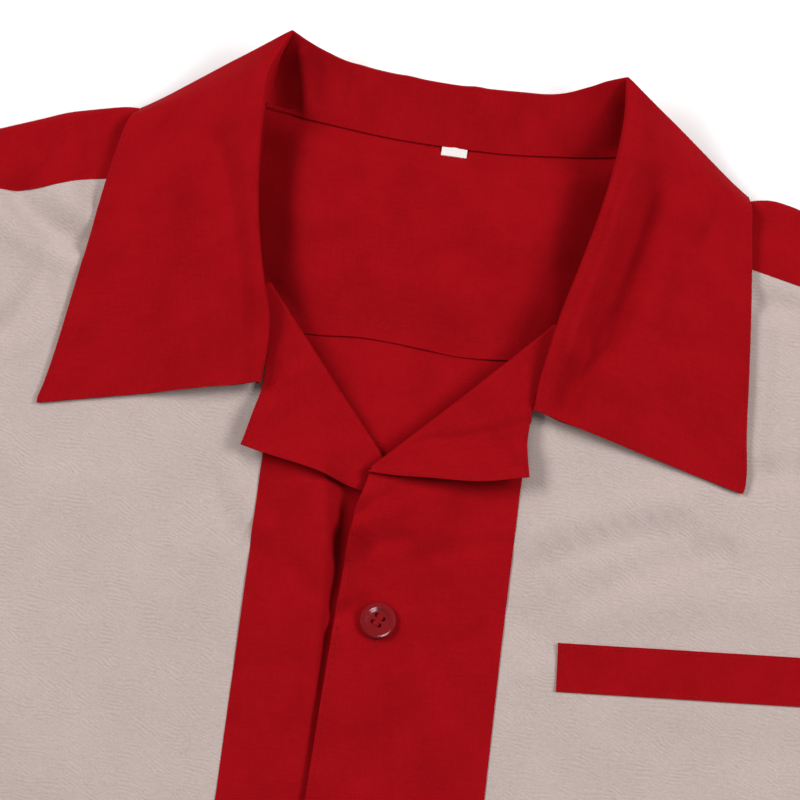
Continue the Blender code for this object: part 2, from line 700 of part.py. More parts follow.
# --- sleeves -----------------------------------------------------------------------
def make_sleeve(side, lengths=7, turn_steps=4):
    """Flattened tube from the armhole to the cuff."""
    sign = side_sign(side)
    arm = np.array(ARMHOLE) + (ARM_GAP, SEAM_GAP)
    arm[-1] += (ARM_GAP, ARM_GAP)
    cuff = along((SLEEVE_OVERARM, SLEEVE_UNDERARM), len(arm) - 1)
    arm_height = front_height(arm[:, 0] * sign, arm[:, 1], side)
    arm_height = np.maximum(arm_height, ARM_HEIGHT)
    grid = []
    for i in range(lengths + 1):
        share = i / lengths
        line = mix(arm, cuff, share)
        high = mix(arm_height, CUFF_HEIGHT, smooth(share))
        low = np.full(len(line), TABLE_LAYER)
        radius = (high - low) / 2.0
        across = line[0] - line[-1]
        across = across / np.linalg.norm(across)
        ends = line.copy()
        ends[0] -= across * radius[0]
        ends[-1] += across * radius[-1]
        ring = [(*p, h) for p, h in zip(ends, high)]
        ring += turn_round(ends[-1], -across, radius[-1], low[-1], turn_steps)
        ring += [(*p, h) for p, h in zip(ends[::-1], low)]
        ring += turn_round(ends[0], across, radius[0], low[0], turn_steps)[::-1]
        grid.append([(x * sign, y, z) for x, y, z in ring])
    make_cloth("sleeve_" + side, [np.array(grid)], RED, ring=True)


def turn_round(centre, outward, radius, low, steps):
    """Points round a fold, from its top layer to its bottom layer, without the ends."""
    points = []
    for i in range(1, steps):
        angle = math.pi / 2 - math.pi * i / steps
        plan = centre + outward * radius * math.cos(angle)
        points.append((*plan, low + radius + radius * math.sin(angle)))
    return points


# --- welt, tab and buttons -----------------------------------------------------------
def make_welt():
    tilt = math.radians(WELT_TILT)
    run = np.array([math.cos(tilt), math.sin(tilt)])
    down = np.array([math.sin(tilt), -math.cos(tilt)])
    shares = np.linspace(0.0, 1.0, 9)
    top = np.array(WELT_CORNER) + np.outer(shares * WELT_SIZE[0], run)
    plan = np.stack([top + down * WELT_SIZE[1] * i / 2 for i in range(3)])
    height = front_height(plan[..., 0], plan[..., 1], "left") + CLOTH + LAYER_GAP
    make_cloth("pocket_welt", [with_height(plan, height)], RED)


def make_tab():
    x = TAB_X + TAB_SIZE[0] * np.array([-0.5, 0.5])
    y = TAB_TOP_Y - TAB_SIZE[1] * np.array([0.0, 0.5, 1.0])
    plan = np.stack(np.meshgrid(x, y), axis=2)
    on_yoke = yoke_back_height(plan[..., 0], plan[..., 1]) + CLOTH + LAYER_GAP
    make_cloth("size_tab", [with_height(plan, on_yoke + CLOTH + LAYER_GAP)], WHITE)


def button_mesh():
    """Turned button with a raised rim, a dished face and four holes."""
    body = bmesh.new()
    rings = []
    for radius, height in BUTTON_PROFILE:
        ring = []
        for i in range(BUTTON_SIDES):
            angle = 2.0 * math.pi * i / BUTTON_SIDES
            ring.append(body.verts.new((radius * math.cos(angle) * MM,
                                        radius * math.sin(angle) * MM, height * MM)))
        rings.append(ring)
    body.faces.new(rings[0][::-1])
    for low, high in zip(rings[:-1], rings[1:]):
        for i in range(BUTTON_SIDES):
            j = (i + 1) % BUTTON_SIDES
            body.faces.new((low[i], low[j], high[j], high[i]))
    body.faces.new(rings[-1])
    mesh = bpy.data.meshes.new("button")
    body.to_mesh(mesh)
    body.free()
    return mesh


def hole_cutter():
    """Four short rods that cut a button's holes."""
    rods = bmesh.new()
    for i in range(BUTTON_HOLES):
        angle = 2.0 * math.pi * (i + 0.5) / BUTTON_HOLES
        made = bmesh.ops.create_cone(rods, cap_ends=True, segments=8, depth=8.0 * MM,
                                     radius1=BUTTON_HOLE_RADIUS * MM,
                                     radius2=BUTTON_HOLE_RADIUS * MM)
        shift = (BUTTON_HOLE_PLACE * math.cos(angle) * MM,
                 BUTTON_HOLE_PLACE * math.sin(angle) * MM, 0.0)
        bmesh.ops.translate(rods, verts=made["verts"], vec=shift)
    mesh = bpy.data.meshes.new("hole_cutter")
    rods.to_mesh(mesh)
    rods.free()
    cutter = bpy.data.objects.new("hole_cutter", mesh)
    bpy.context.scene.collection.objects.link(cutter)
    cutter.hide_render = True
    cutter.display_type = "WIRE"
    return cutter


def drilled_button():
    """The button's mesh with its holes cut."""
    cutter = hole_cutter()
    blank = bpy.data.objects.new("blank", button_mesh())
    bpy.context.scene.collection.objects.link(blank)
    cut = blank.modifiers.new("holes", "BOOLEAN")
    cut.object = cutter
    cut.operation = "DIFFERENCE"
    bpy.context.view_layer.update()
    graph = bpy.context.evaluated_depsgraph_get()
    mesh = bpy.data.meshes.new_from_object(blank.evaluated_get(graph))
    for item in (blank, cutter):
        bpy.data.objects.remove(item, do_unlink=True)
    shade(mesh)
    mesh.materials.clear()
    return mesh


def make_buttons():
    mesh = drilled_button()
    mesh.materials.append(make_material("button", GLOSS_RED))
    for i in range(BUTTON_COUNT):
        button = bpy.data.objects.new("button_%d" % (i + 1), mesh)
        y = BUTTON_TOP_Y - i * BUTTON_PITCH
        button.location = (BUTTON_X * MM, (y + FRAME_Y) * MM, BUTTON_SEAT * MM)
        bpy.context.scene.collection.objects.link(button)


def main():
    clear_scene()
    make_back()
    make_yoke()
    make_inner_yoke()
    for side in ("right", "left"):
        make_front_side(side)
        make_front_centre(side)
        make_lapel(side)
        make_sleeve(side)
    make_collar()
    make_welt()
    make_tab()
    make_buttons()


main()
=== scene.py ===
"""Finish of a men's short-sleeved bowling shirt that lies flat with its front up.

Each cut piece of cloth is a grid of points on the middle of the cloth, with its creases,
given its wall by a Solidify modifier.  X runs across the shirt towards the wearer's left
sleeve, Y runs from the hem to the collar, Z is up from the table.

The tables and the working sizes are in millimetres; MM turns them into the scene's
metres.  In the tables Y is measured from the line of the two collar peaks, and FRAME_Y
puts the middle of the shirt on the origin.  Sides are the wearer's: the right side is at
negative X and the left side, which buttons over it, at positive X.
"""
import math

import bmesh
import bpy
import numpy as np
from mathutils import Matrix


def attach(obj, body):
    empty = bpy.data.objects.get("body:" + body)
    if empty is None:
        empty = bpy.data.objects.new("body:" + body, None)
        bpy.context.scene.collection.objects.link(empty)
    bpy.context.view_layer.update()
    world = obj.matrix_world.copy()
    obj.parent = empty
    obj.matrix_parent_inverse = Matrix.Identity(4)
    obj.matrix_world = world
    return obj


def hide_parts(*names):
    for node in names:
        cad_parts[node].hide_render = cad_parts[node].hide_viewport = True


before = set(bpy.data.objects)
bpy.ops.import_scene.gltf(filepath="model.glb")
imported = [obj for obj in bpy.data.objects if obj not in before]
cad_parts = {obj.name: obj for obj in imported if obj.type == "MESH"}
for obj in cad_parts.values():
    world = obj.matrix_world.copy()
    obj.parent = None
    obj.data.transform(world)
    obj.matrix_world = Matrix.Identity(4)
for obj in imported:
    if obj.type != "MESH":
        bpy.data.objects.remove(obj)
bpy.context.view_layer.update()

MM = 0.001                  # metres in a millimetre
UP = (0.0, 0.0, 1.0)
FRAME_Y = 367.82            # from the collar peaks' line to the middle of the length

# --- cloth ---------------------------------------------------------------------
CLOTH = 0.5                 # wall of a single layer
FACED = 0.9                 # centre panels, which carry a facing
COLLAR_WALL = 0.9           # two layers with interlining
LAYER_GAP = 0.15            # between pieces that lie on each other
TABLE_LAYER = CLOTH / 2     # height of the middle of cloth that lies on the table
SEAM_LAP = 1.4              # how far a piece runs under its neighbour at a seam
SEAM_DIP = 0.55             # how far it dips there
SEAM_DIP_WIDTH = 2.6
SEAM_LAP_ROWS = 6.0         # rows of points over which a side panel's top runs under the yoke
SEAM_LAP_START = 2.0        # from the lapel's fold to where its panel seam starts to do so
GRID_GUARD = 0.004          # share of a grid's first and last step, which keeps edges crisp
# Steps of each piece's grid from edge to edge.
GRID_STEPS = {"back": 90, "yoke_inner": 54, "front_side": 94, "front_centre": 42, "lapel": 44,
              "sleeve": 84, "welt_down": 14, "welt_across": 70}
SEWN = 0.02                 # points nearer than this become one
SLIVER = 1e-7               # metres; edges shorter than this are closed up
SHARP_EDGE = 50.0           # degrees

# Soft unevenness of the cloth: layers of (pitch, height), and the seed of each piece.
UNEVEN = ((31.0, 0.22), (11.0, 0.075))
BEIGE_UNEVEN = ((26.0, 0.20), (8.0, 0.085))
BACK_UNEVEN = ((24.0, 0.09), (9.0, 0.04))
INNER_YOKE_UNEVEN = ((26.0, 0.12), (9.0, 0.05))
LAPEL_UNEVEN = ((14.0, 0.16),)
LEAF_UNEVEN = ((24.0, 0.35), (10.0, 0.08))
SEEDS = {"right": 11, "left": 12, "beige": 21, "back": 31, "yoke_inner": 41, "lapel": 51,
         "leaf": 61, "sleeve": 71}

# --- body ----------------------------------------------------------------------
HEM_Y = -735.0
HEM_HALF = 262.0            # half the width at the hem
YOKE_SEAM_Y = -121.5        # back yoke seam
YOKE_FRONT_NECK = (79.0, -58.0)     # front yoke seam at the neckline
YOKE_SAG = ((-142.0, 8.0, 1.0), (-166.0, 13.0, -2.1))   # bends of that seam (x, half width, y)
YOKE_COLLAR_LIFT = 1.7      # the yoke lies on the collar's fall near the neck
YOKE_LIFT_Y = (-84.0, -70.0)        # over which the yoke climbs on to the fall
YOKE_LIFT_X = (150.0, 134.0)
YOKE_SLACK = 0.5            # the inner yoke's hidden ends lie a little higher
YOKE_SLACK_X = (60.0, 90.0)
INNER_YOKE_INSET = 9.0      # of its ends from the shoulder fold
NECK_MARGIN = 0.9           # from the collar's foot to the outer yoke's neck edge
NECK_TUCK = 1.6             # how far the inner yoke runs under the collar's foot
SLEEVE_OVERARM = (415.0, -180.5)    # cuff end of the sleeve's top fold
SLEEVE_UNDERARM = (322.5, -340.7)   # cuff end of the underarm fold
CUFF_HEIGHT = 3.4
ARM_HEIGHT = 2.9            # least height of the sleeve's top layer at the armhole
ARM_LAP = 0.8               # the sleeve's top layer over the body at the armhole
ARM_LAP_LIFT = 0.55
ARM_LAP_REACH = 12.0        # the lap is gone at one part in so many of the sleeve's length
BACK_RISE = 0.14            # keeps the back's unevenness off the table
BACK_HEM_SHARE = 0.5        # of the hem's step, the rest of which is underneath
HEM_DEPTH = 20.0            # turned hems of the body and the sleeves
HEM_STEP = 0.28             # height of the hem's step
HEM_EASE = 1.6              # width over which it rises
HEM_STITCH = 1.5            # from the turned edge to its stitched row
HEM_DIP = 0.9               # half width of the dip at that row

# Armhole from the shoulder tip to the underarm, the same on both sides (x, y).
ARMHOLE = (
    (220.0, -68.0),
    (216.4, -87.0),
    (210.0, -121.5),
    (207.5, -150.0),
    (208.0, -180.0),
    (213.0, -210.0),
    (223.0, -238.0),
    (238.0, -263.0),
    (258.0, -285.0),
)
YOKE_FRONT_ROW = 1          # rows of ARMHOLE where the yoke's seams meet it
YOKE_BACK_ROW = 2

# Shoulder fold, from beside the collar to the shoulder tip (x away from the middle, y).
SHOULDER = {
    "right": (
        (82.0, -28.5),
        (101.0, -34.4),
        (120.5, -37.4),
        (130.0, -36.4),
        (139.5, -37.8),
        (156.0, -42.2),
        (184.0, -53.2),
        (220.0, -68.0),
    ),
    "left": (
        (82.0, -28.5),
        (101.0, -36.0),
        (120.5, -42.0),
        (130.0, -39.4),
        (139.5, -38.8),
        (156.0, -43.2),
        (184.0, -55.2),
        (220.0, -68.0),
    ),
}

# Seam between the centre panel and the side panel (y, right x, left x).
PANEL_SEAM = (
    (-113.0, -55.6, 50.5),
    (-176.0, -55.0, 50.0),
    (-240.0, -53.5, 51.0),
    (-314.0, -52.0, 53.0),
    (-735.0, -52.0, 53.0),
)
# Free front edges: the left front lies on the right one (y, right x, left x).
FRONT_EDGE = (
    (-193.0, 14.0, -14.6),
    (-206.0, 15.5, -15.2),
    (-240.0, 16.0, -16.4),
    (-290.0, 16.0, -17.0),
    (-735.0, 16.0, -16.6),
)

# --- lay of the front ------------------------------------------------------------
FRONT_LOFT = 2.7            # height of the front's cloth over the table
LEAST_LOFT, LEAST_LOFT_SOFT = 1.75, 0.35     # the deepest troughs stay over the back
SHOULDER_RISE = 3.7         # more near the shoulders
RISE_ALONG = (-190.0, -80.0)        # over which that rise goes
SIDE_HEIGHT = 0.95          # at the side seam, where front meets back
SIDE_ROUND = 26.0
SIDE_ALONG = (-235.0, -285.0)       # over which the side seam's low edge sets in
NECK_SPREAD = 17.0          # how far the pull of the raised neck edge reaches
OVERLAP_LIFT = 1.5          # left front over the right front's edge
OVERLAP_ACROSS = (28.0, 17.0)       # over which it climbs
RIM = (2.2, 1.6, 0.14)      # ridge of the turned free edge: its inset, half width and height
RIM_START = (-180.0, -200.0)        # over which it sets in below the lapels

# Neck and lapel edge of each front, from the shoulder to the first button (x, y, z).
NECK_EDGE = {
    "right": (
        (-82.5, -34.0, 6.6),
        (-82.0, -58.0, 8.0),
        (-77.4, -80.0, 9.4),
        (-71.4, -100.6, 10.6),
        (-62.2, -104.7, 11.2),
        (-26.0, -145.8, 4.6),
        (9.6, -186.4, 2.0),
    ),
    "left": (
        (78.5, -34.0, 6.6),
        (76.4, -58.0, 8.0),
        (70.6, -82.0, 9.4),
        (64.0, -98.6, 10.6),
        (54.4, -105.4, 11.4),
        (21.0, -140.2, 7.0),
        (-11.7, -174.4, 7.3),
    ),
}
LAPEL_ROW = 4               # row of NECK_EDGE where the lapel's roll begins
NECK_STEPS = 4              # along the side panel's neckline
PANEL_START = 14.0          # from the lapel's fold down the panel seam
TOP_WIDTH = 6.0             # of the centre panel's top, under the lapel
TOP_DROP = 5.0              # of the centre panel's top below the side panel's corner
HIDDEN_ROWS = 4             # rows of the panel seam under the lapel, which gape a little
HIDDEN_GAP = 0.9

# Creases of the fronts, ridges above zero and troughs below
# (x, y to x, y, bend, half width, height).
FRONT_CREASES = {
    "right": (
        (-196.0, -240.0, -96.0, -330.0, 0.0, 17.0, 2.2),
        (-232.0, -330.0, -176.0, -520.0, 0.0, 20.0, 1.8),
        (-150.0, -430.0, -118.0, -660.0, 0.0, 22.0, 1.6),
        (-92.0, -560.0, -84.0, -735.0, 0.0, 18.0, 1.4),
        (-222.0, -600.0, -206.0, -735.0, 0.0, 20.0, 1.8),
        (-165.0, -100.0, -84.0, -230.0, 0.0, 34.0, 1.5),
        (-158.0, -44.0, -149.0, -84.0, 1.0, 6.5, 1.5),
        (-147.0, -46.0, -140.0, -82.0, 1.0, 5.0, -1.2),
        (-174.0, -80.0, -139.0, -98.0, -4.0, 5.0, -3.2),
        (-166.0, -68.0, -138.0, -86.0, -3.0, 5.0, 1.8),
        (-178.0, -92.0, -141.0, -106.0, -3.0, 5.5, 2.2),
        (-154.0, -106.0, -168.0, -138.0, 3.0, 6.0, -2.4),
        (-148.0, -112.0, -156.0, -142.0, 3.0, 6.0, 1.0),
        (-76.0, -184.0, -58.5, -208.5, -2.0, 3.0, -2.6),
        (-66.0, -178.0, -51.0, -204.0, -3.0, 5.0, 1.6),
        (-90.0, -166.0, -72.0, -300.0, 5.0, 10.0, -0.7),
        (-118.0, -180.0, -104.0, -330.0, 8.0, 14.0, 0.8),
        (-136.0, -196.0, -158.0, -236.0, 2.0, 8.0, 0.8),
        (-148.0, -188.0, -176.0, -232.0, 4.0, 7.0, -0.8),
        (-52.0, -214.0, -24.0, -228.0, 3.0, 5.0, -0.9),
        (-50.0, -262.0, -10.0, -286.0, 4.0, 7.0, -0.5),
        (-40.0, -330.0, -16.0, -420.0, 4.0, 8.0, -0.6),
        (-34.0, -470.0, -20.0, -640.0, -5.0, 9.0, 0.6),
        (-70.0, -340.0, -130.0, -372.0, 6.0, 7.0, -0.8),
        (-60.0, -452.0, -140.0, -500.0, 9.0, 8.0, 0.9),
        (-210.0, -430.0, -160.0, -462.0, -6.0, 8.0, -0.8),
        (-70.0, -600.0, -150.0, -622.0, -6.0, 8.0, -0.7),
    ),
    "left": (
        (-8.0, -183.0, 12.0, -192.0, 0.0, 15.0, 3.2),
        (-16.0, -182.0, -18.0, -208.0, 0.0, 6.0, 5.6),
        (-18.5, -200.0, -19.0, -240.0, 0.0, 6.0, 1.2),
        (-18.5, -190.0, -18.0, -700.0, 0.0, 6.0, 1.5),
        (76.0, -198.0, 165.0, -205.0, 0.0, 34.0, 1.7),
        (205.0, -268.0, 128.0, -344.0, 0.0, 16.0, 1.9),
        (228.0, -340.0, 190.0, -500.0, 0.0, 20.0, 1.8),
        (132.0, -400.0, 152.0, -610.0, 0.0, 24.0, 1.7),
        (88.0, -590.0, 96.0, -735.0, 0.0, 18.0, 1.5),
        (214.0, -560.0, 222.0, -735.0, 0.0, 19.0, 1.6),
        (118.0, -181.0, 58.0, -204.6, -3.0, 3.8, -3.8),
        (112.0, -170.0, 56.0, -194.0, -3.0, 6.5, 2.5),
        (134.0, -187.0, 84.0, -211.0, -2.0, 4.2, -3.2),
        (100.0, -206.0, 52.0, -226.0, -2.0, 4.5, -1.2),
        (150.0, -206.0, 84.0, -223.0, -4.0, 7.0, 1.4),
        (71.0, -231.6, 55.0, -229.4, 0.6, 2.0, -1.4),
        (71.0, -236.4, 57.0, -238.6, 0.6, 1.8, -0.9),
        (71.0, -252.6, 58.0, -256.6, 0.6, 2.2, -1.5),
        (146.0, -96.0, 148.0, -146.0, 1.0, 3.0, 0.9),
        (154.0, -92.0, 157.0, -150.0, 1.0, 3.4, -0.9),
        (162.0, -84.0, 136.0, -82.0, 1.0, 5.0, -2.6),
        (134.0, -157.0, 174.0, -152.0, 2.0, 6.0, -1.6),
        (104.0, -265.0, 178.0, -260.0, -3.0, 8.0, -1.6),
        (-16.0, -196.0, -1.0, -183.0, 1.0, 2.6, -3.4),
        (-12.0, -199.0, 12.0, -183.0, 1.0, 3.8, 1.1),
        (-17.0, -213.0, 8.0, -200.0, 2.0, 3.6, -1.3),
        (51.0, -196.0, 12.0, -209.0, -2.0, 4.4, -1.1),
        (-17.0, -237.0, -6.0, -229.0, 1.0, 2.8, -2.4),
        (10.0, -244.0, 40.0, -236.0, 1.0, 4.0, -0.9),
        (2.0, -246.0, 12.0, -310.0, 2.0, 3.6, -0.9),
        (18.0, -244.0, 34.0, -304.0, 2.0, 5.0, 1.0),
        (-6.0, -330.0, 22.0, -420.0, 4.0, 7.0, -0.6),
        (30.0, -430.0, 8.0, -560.0, -5.0, 8.0, 0.6),
        (62.0, -330.0, 120.0, -352.0, 5.0, 7.0, -0.8),
        (66.0, -470.0, 148.0, -520.0, -8.0, 8.0, 0.9),
        (226.0, -420.0, 178.0, -470.0, 6.0, 8.0, -0.8),
        (70.0, -640.0, 140.0, -600.0, 6.0, 8.0, -0.7),
    ),
}
# The right front rises beside the left front's edge and falls away under it
# (y, x where the fall begins, x where it ends, rise).
UNDERLAP = (
    (-168.0, -32.0, -20.0, 3.0),
    (-184.0, -28.4, -21.6, 7.2),
    (-190.0, -27.0, -21.2, 6.8),
    (-197.0, -25.6, -20.4, 6.0),
    (-213.0, -23.8, -19.0, 4.8),
    (-229.0, -22.8, -18.6, 3.6),
    (-245.0, -22.0, -18.4, 2.5),
    (-269.0, -21.0, -18.2, 1.4),
    (-330.0, -19.0, -17.2, 0.5),
)
UNDERLAP_REACH = 20.0       # how far to the side the rise reaches
UNDERLAP_FALL = (0.5, 2.2)  # it falls fully under the edge only where it rises this much
UNDERLAP_BEND = 0.1         # rounding where the fall sets in, a share of its width

# --- lapels ------------------------------------------------------------------------
LAPEL_WALL = 0.6            # the facing where it turns back
LAPEL_FOLD = 1.0            # radius of the roll at the middle of the cloth
LAPEL_CLEARANCE = 0.1       # from the front's edge to the roll's inside
LAPEL_RISE = 0.85           # share of an ease over which the lapel lifts
LAPEL_CREASE_START = (0.0, 0.25)    # over which its creases set in
LAPEL_FOLD_END = 205.0      # degrees round the roll, from the top of the lapel at 90
LAPEL_FROM, LAPEL_TO = 0.0, 0.99   # shares of the roll line that the lapel covers
LAPEL_CORNER = 5            # row of LAPEL_EDGE at the lapel's corner

# Outer edge of each lapel, from the roll line past the notch and the corner to the
# first button (x, y, lift off the front).
LAPEL_EDGE = {
    "right": (
        (-64.6, -106.4, 0.3),
        (-62.6, -119.0, 0.8),
        (-59.6, -134.0, 1.8),
        (-59.4, -148.0, 3.4),
        (-61.6, -160.6, 4.8),
        (-64.0, -172.6, 5.6),
        (-50.0, -175.6, 5.6),
        (-36.0, -178.4, 5.0),
        (-21.0, -181.9, 3.4),
        (-7.0, -184.9, 1.6),
        (5.6, -187.6, 0.2),
    ),
    "left": (
        (57.0, -106.6, 0.3),
        (54.6, -119.0, 0.8),
        (51.8, -133.0, 1.8),
        (50.4, -143.6, 3.4),
        (50.2, -156.4, 5.2),
        (52.8, -169.4, 6.4),
        (38.0, -173.2, 7.2),
        (25.0, -174.9, 6.6),
        (12.0, -175.6, 4.6),
        (0.6, -176.2, 2.4),
        (-11.9, -176.1, 0.5),
    ),
}
LAPEL_CREASES = {
    "right": (
        (-57.0, -148.0, -43.0, -128.0, 1.0, 4.0, -1.9),
        (-49.0, -140.0, -43.0, -121.0, 1.0, 4.0, 1.2),
        (-60.0, -158.0, -30.0, -164.0, 1.0, 7.0, 0.6),
    ),
    "left": (
        (8.0, -160.0, 49.0, -146.0, -1.5, 2.6, -1.4),
        (18.0, -160.0, 51.0, -152.5, -1.0, 2.4, -1.0),
        (20.0, -166.0, 50.0, -160.0, -1.0, 4.0, 0.8),
        (30.0, -152.0, 50.0, -143.0, -1.0, 3.0, 0.9),
    ),
}

# --- collar ---------------------------------------------------------------------
ROLL = 1.3                  # radius of the roll at the middle of the cloth
NOTCH_ROLL = 1.0            # smaller at the notch
NOTCH_ROWS = 3              # rows over which the roll opens
SHOULDER_ROW = 8            # row of the collar peak in COLLAR
TUCK_ROWS = 2.5             # rows over which the fall turns under the back
PEAK_STAND_OUT = 1.2        # how much the fall stands out along the peak's crest
STAND_STEPS = 12
ROLL_POINTS = 5             # points round the roll
ROLL_FIRST = 84.0           # degrees round the roll where it begins, less the stand's slope
ROLL_LAST = 84.0            # degrees round the roll, where the fall begins
LEAST_TURN = 2.0            # degrees that the roll turns at the least
PEAK_SHARP = (0.55, 1.3)    # how much smaller the roll is at the peak, and over how many rows
# How far the stand bows outward (rows from the peak, then bows).
STAND_BOW = ((-7.0, -4.0, -1.0, 0.0, 1.5), (0.0, 3.0, 5.0, 3.6, 0.0))
ROLL_TOP = 0.6              # from the roll line down to the middle of the stand's top
NEAR_ROLL = 0.34            # share of the fall that stands out next to the roll
SECTION_STEPS = 10          # between two sections of the collar
FALL_STEPS = 9              # between two rows of FALL

# Sections of the collar from the notch to the peak: the neck seam, the roll line and
# the outer edge (neck x, y, z, roll x, y, z, edge x, y, z).
COLLAR = {
    "right": (
        (-61.6, -146.5, 8.6, -59.4, -146.4, 10.7, -149.6, -166.8, 5.2),
        (-62.0, -133.0, 10.0, -58.7, -133.0, 12.6, -147.0, -156.0, 5.8),
        (-64.0, -117.0, 12.2, -59.7, -119.0, 15.4, -144.4, -140.0, 7.2),
        (-69.0, -100.0, 12.2, -64.5, -104.0, 18.2, -141.4, -116.4, 8.8),
        (-76.0, -80.0, 10.2, -70.4, -80.0, 21.2, -138.8, -95.0, 9.6),
        (-80.2, -58.0, 8.2, -74.0, -54.0, 22.8, -136.8, -74.0, 9.9),
        (-81.0, -42.0, 7.2, -75.0, -34.0, 23.6, -134.4, -57.0, 10.2),
        (-79.6, -31.6, 6.6, -74.6, -18.4, 24.2, -131.4, -43.6, 10.2),
        (-76.4, -28.6, 5.8, -68.4, -2.2, 25.0, -128.0, -37.0, 5.4),
        (-71.6, -29.2, 5.2, -62.6, -4.6, 20.6, -125.4, -37.6, 0.8),
        (-62.0, -30.4, 4.7, -54.8, -6.2, 14.6, -116.0, -45.0, 0.7),
        (-46.0, -32.0, 4.2, -42.0, -8.7, 10.2, -90.0, -53.0, 0.7),
        (-24.0, -33.8, 3.9, -24.0, -10.1, 8.6, -48.0, -60.0, 0.7),
    ),
    "left": (
        (54.0, -142.0, 8.6, 50.2, -141.9, 10.7, 139.4, -162.9, 5.2),
        (55.0, -129.5, 10.0, 50.8, -130.0, 12.6, 139.2, -153.0, 5.8),
        (57.4, -115.6, 12.2, 52.8, -117.4, 15.2, 137.2, -138.0, 7.2),
        (61.6, -100.0, 12.2, 55.8, -101.6, 18.0, 135.2, -113.0, 8.8),
        (69.2, -82.0, 10.2, 60.8, -82.0, 20.8, 133.4, -92.0, 9.6),
        (74.8, -58.0, 8.2, 66.2, -58.0, 22.6, 131.2, -70.0, 9.9),
        (76.8, -42.0, 7.2, 69.4, -38.0, 23.6, 129.4, -55.0, 10.2),
        (76.0, -31.8, 6.6, 70.6, -18.0, 24.2, 128.2, -45.0, 10.2),
        (73.4, -28.8, 5.8, 69.4, -2.4, 25.0, 126.6, -39.2, 5.4),
        (68.6, -29.4, 5.2, 62.6, -4.2, 20.6, 124.4, -39.6, 0.8),
        (59.6, -30.6, 4.7, 55.6, -6.0, 14.6, 115.0, -47.0, 0.7),
        (45.0, -32.2, 4.2, 43.0, -9.4, 10.2, 90.0, -54.0, 0.7),
        (24.0, -34.0, 3.9, 25.0, -10.6, 8.6, 48.0, -60.4, 0.7),
    ),
}
COLLAR_BACK = (0.0, -34.4, 3.8, 0.0, -11.2, 8.2, 0.0, -62.0, 0.7)

# The fall from the roll to its outer edge: share of the way, share of the drop where it
# lies over the front, share of the drop under the back, and how far it stands out there.
FALL = (
    (0.00, 0.000, 0.00, 0.0),
    (0.06, 0.045, 0.34, 4.3),
    (0.17, 0.200, 0.70, 7.4),
    (0.34, 0.470, 0.95, 9.4),
    (0.56, 0.740, 1.00, 6.5),
    (0.78, 0.910, 1.00, 3.2),
    (1.00, 1.000, 1.00, 0.0),
)

# Creases of the collar's leaves, in plan, as in FRONT_CREASES.
LEAF_CREASES = (
    (-92.0, -52.0, -67.0, -144.0, 4.0, 7.0, -3.0),
    (-102.0, -60.0, -92.0, -140.0, 4.0, 12.0, 1.0),
    (-130.0, -70.0, -112.0, -150.0, 3.0, 12.0, -0.8),
    (-136.0, -142.0, -144.0, -158.0, 0.0, 3.0, -0.8),
    (86.5, -37.0, 72.5, -106.0, 1.0, 8.6, -7.6),
    (71.0, -112.0, 62.0, -138.0, 0.0, 6.0, -5.0),
    (74.5, -42.0, 60.5, -116.0, 1.5, 6.5, 5.4),
    (106.0, -48.0, 84.0, -140.0, -3.0, 8.0, 1.8),
    (116.0, -36.0, 110.0, -64.0, 1.0, 4.0, -1.4),
    (126.0, -60.0, 120.0, -150.0, 2.0, 10.0, -0.9),
)
LEAF_START = (2, 18)            # columns past the roll over which the creases set in
LEAF_START_Y = (-30.0, -52.0)
LEAF_LEAST, FRONT_LEAST = 3.0, 2.5      # the fall lies lower than this under the back
# Shallow creases of the stand behind the neck (x at the seam, x at the roll, half width,
# depth), the shares of the stand over which they set in and fade, and their slant.
STAND_CREASES = (
    (-40.0, -43.5, 2.6, 1.7),
    (-31.0, -36.0, 3.0, -1.0),
    (12.0, 8.0, 2.4, 1.2),
    (20.0, 17.0, 3.0, -0.7),
    (38.0, 33.0, 3.4, 0.9),
    (-56.0, -58.0, 3.4, 1.4),
)
STAND_CREASE_START, STAND_CREASE_END = (0.05, 0.3), (0.5, 0.72)
STAND_CREASE_SLANT = 0.7
# Folds of the stand at its two corners, in plan, as in FRONT_CREASES.
STAND_FOLDS = (
    (-58.8, -31.5, -64.0, -8.0, -1.0, 2.6, 1.8),
    (-73.0, -33.0, -74.0, -16.0, 0.0, 9.0, -5.2),
    (57.0, -30.0, 63.0, -9.0, 0.0, 5.0, 0.8),
    (71.5, -38.0, 73.0, -12.0, 0.0, 5.0, -2.3),
)
STAND_FOLD_START, STAND_FOLD_END = (0.0, 0.08), (0.82, 0.98)
BEHIND_NECK_Y = -40.0           # the neck seam is behind the neck above this
# Bumps along the back edge of the collar (x, half width, height), and the columns past
# the roll over which they fade.
BACK_EDGE_BUMPS = (
    (-39.5, 4.0, 0.3),
    (-19.0, 3.6, 0.3),
    (9.0, 3.0, 0.5),
    (38.0, 6.0, -0.3),
)
BACK_EDGE_END = (12, 24)
LEAF_TIP_ROUND = (0.7, 1.7)     # how far the leaf's tip is drawn in, and over what reach
LEAF_TIP_ROWS, LEAF_TIP_COLUMNS = 24, 30    # from the tip, to find its inside
LEAF_GAP, LEAF_GAP_SOFT = 1.15, 0.7     # least height of the leaves over the fronts
LEAF_SETTLE = (0.9, 24.0)       # how far the tips settle on the front, and over what reach

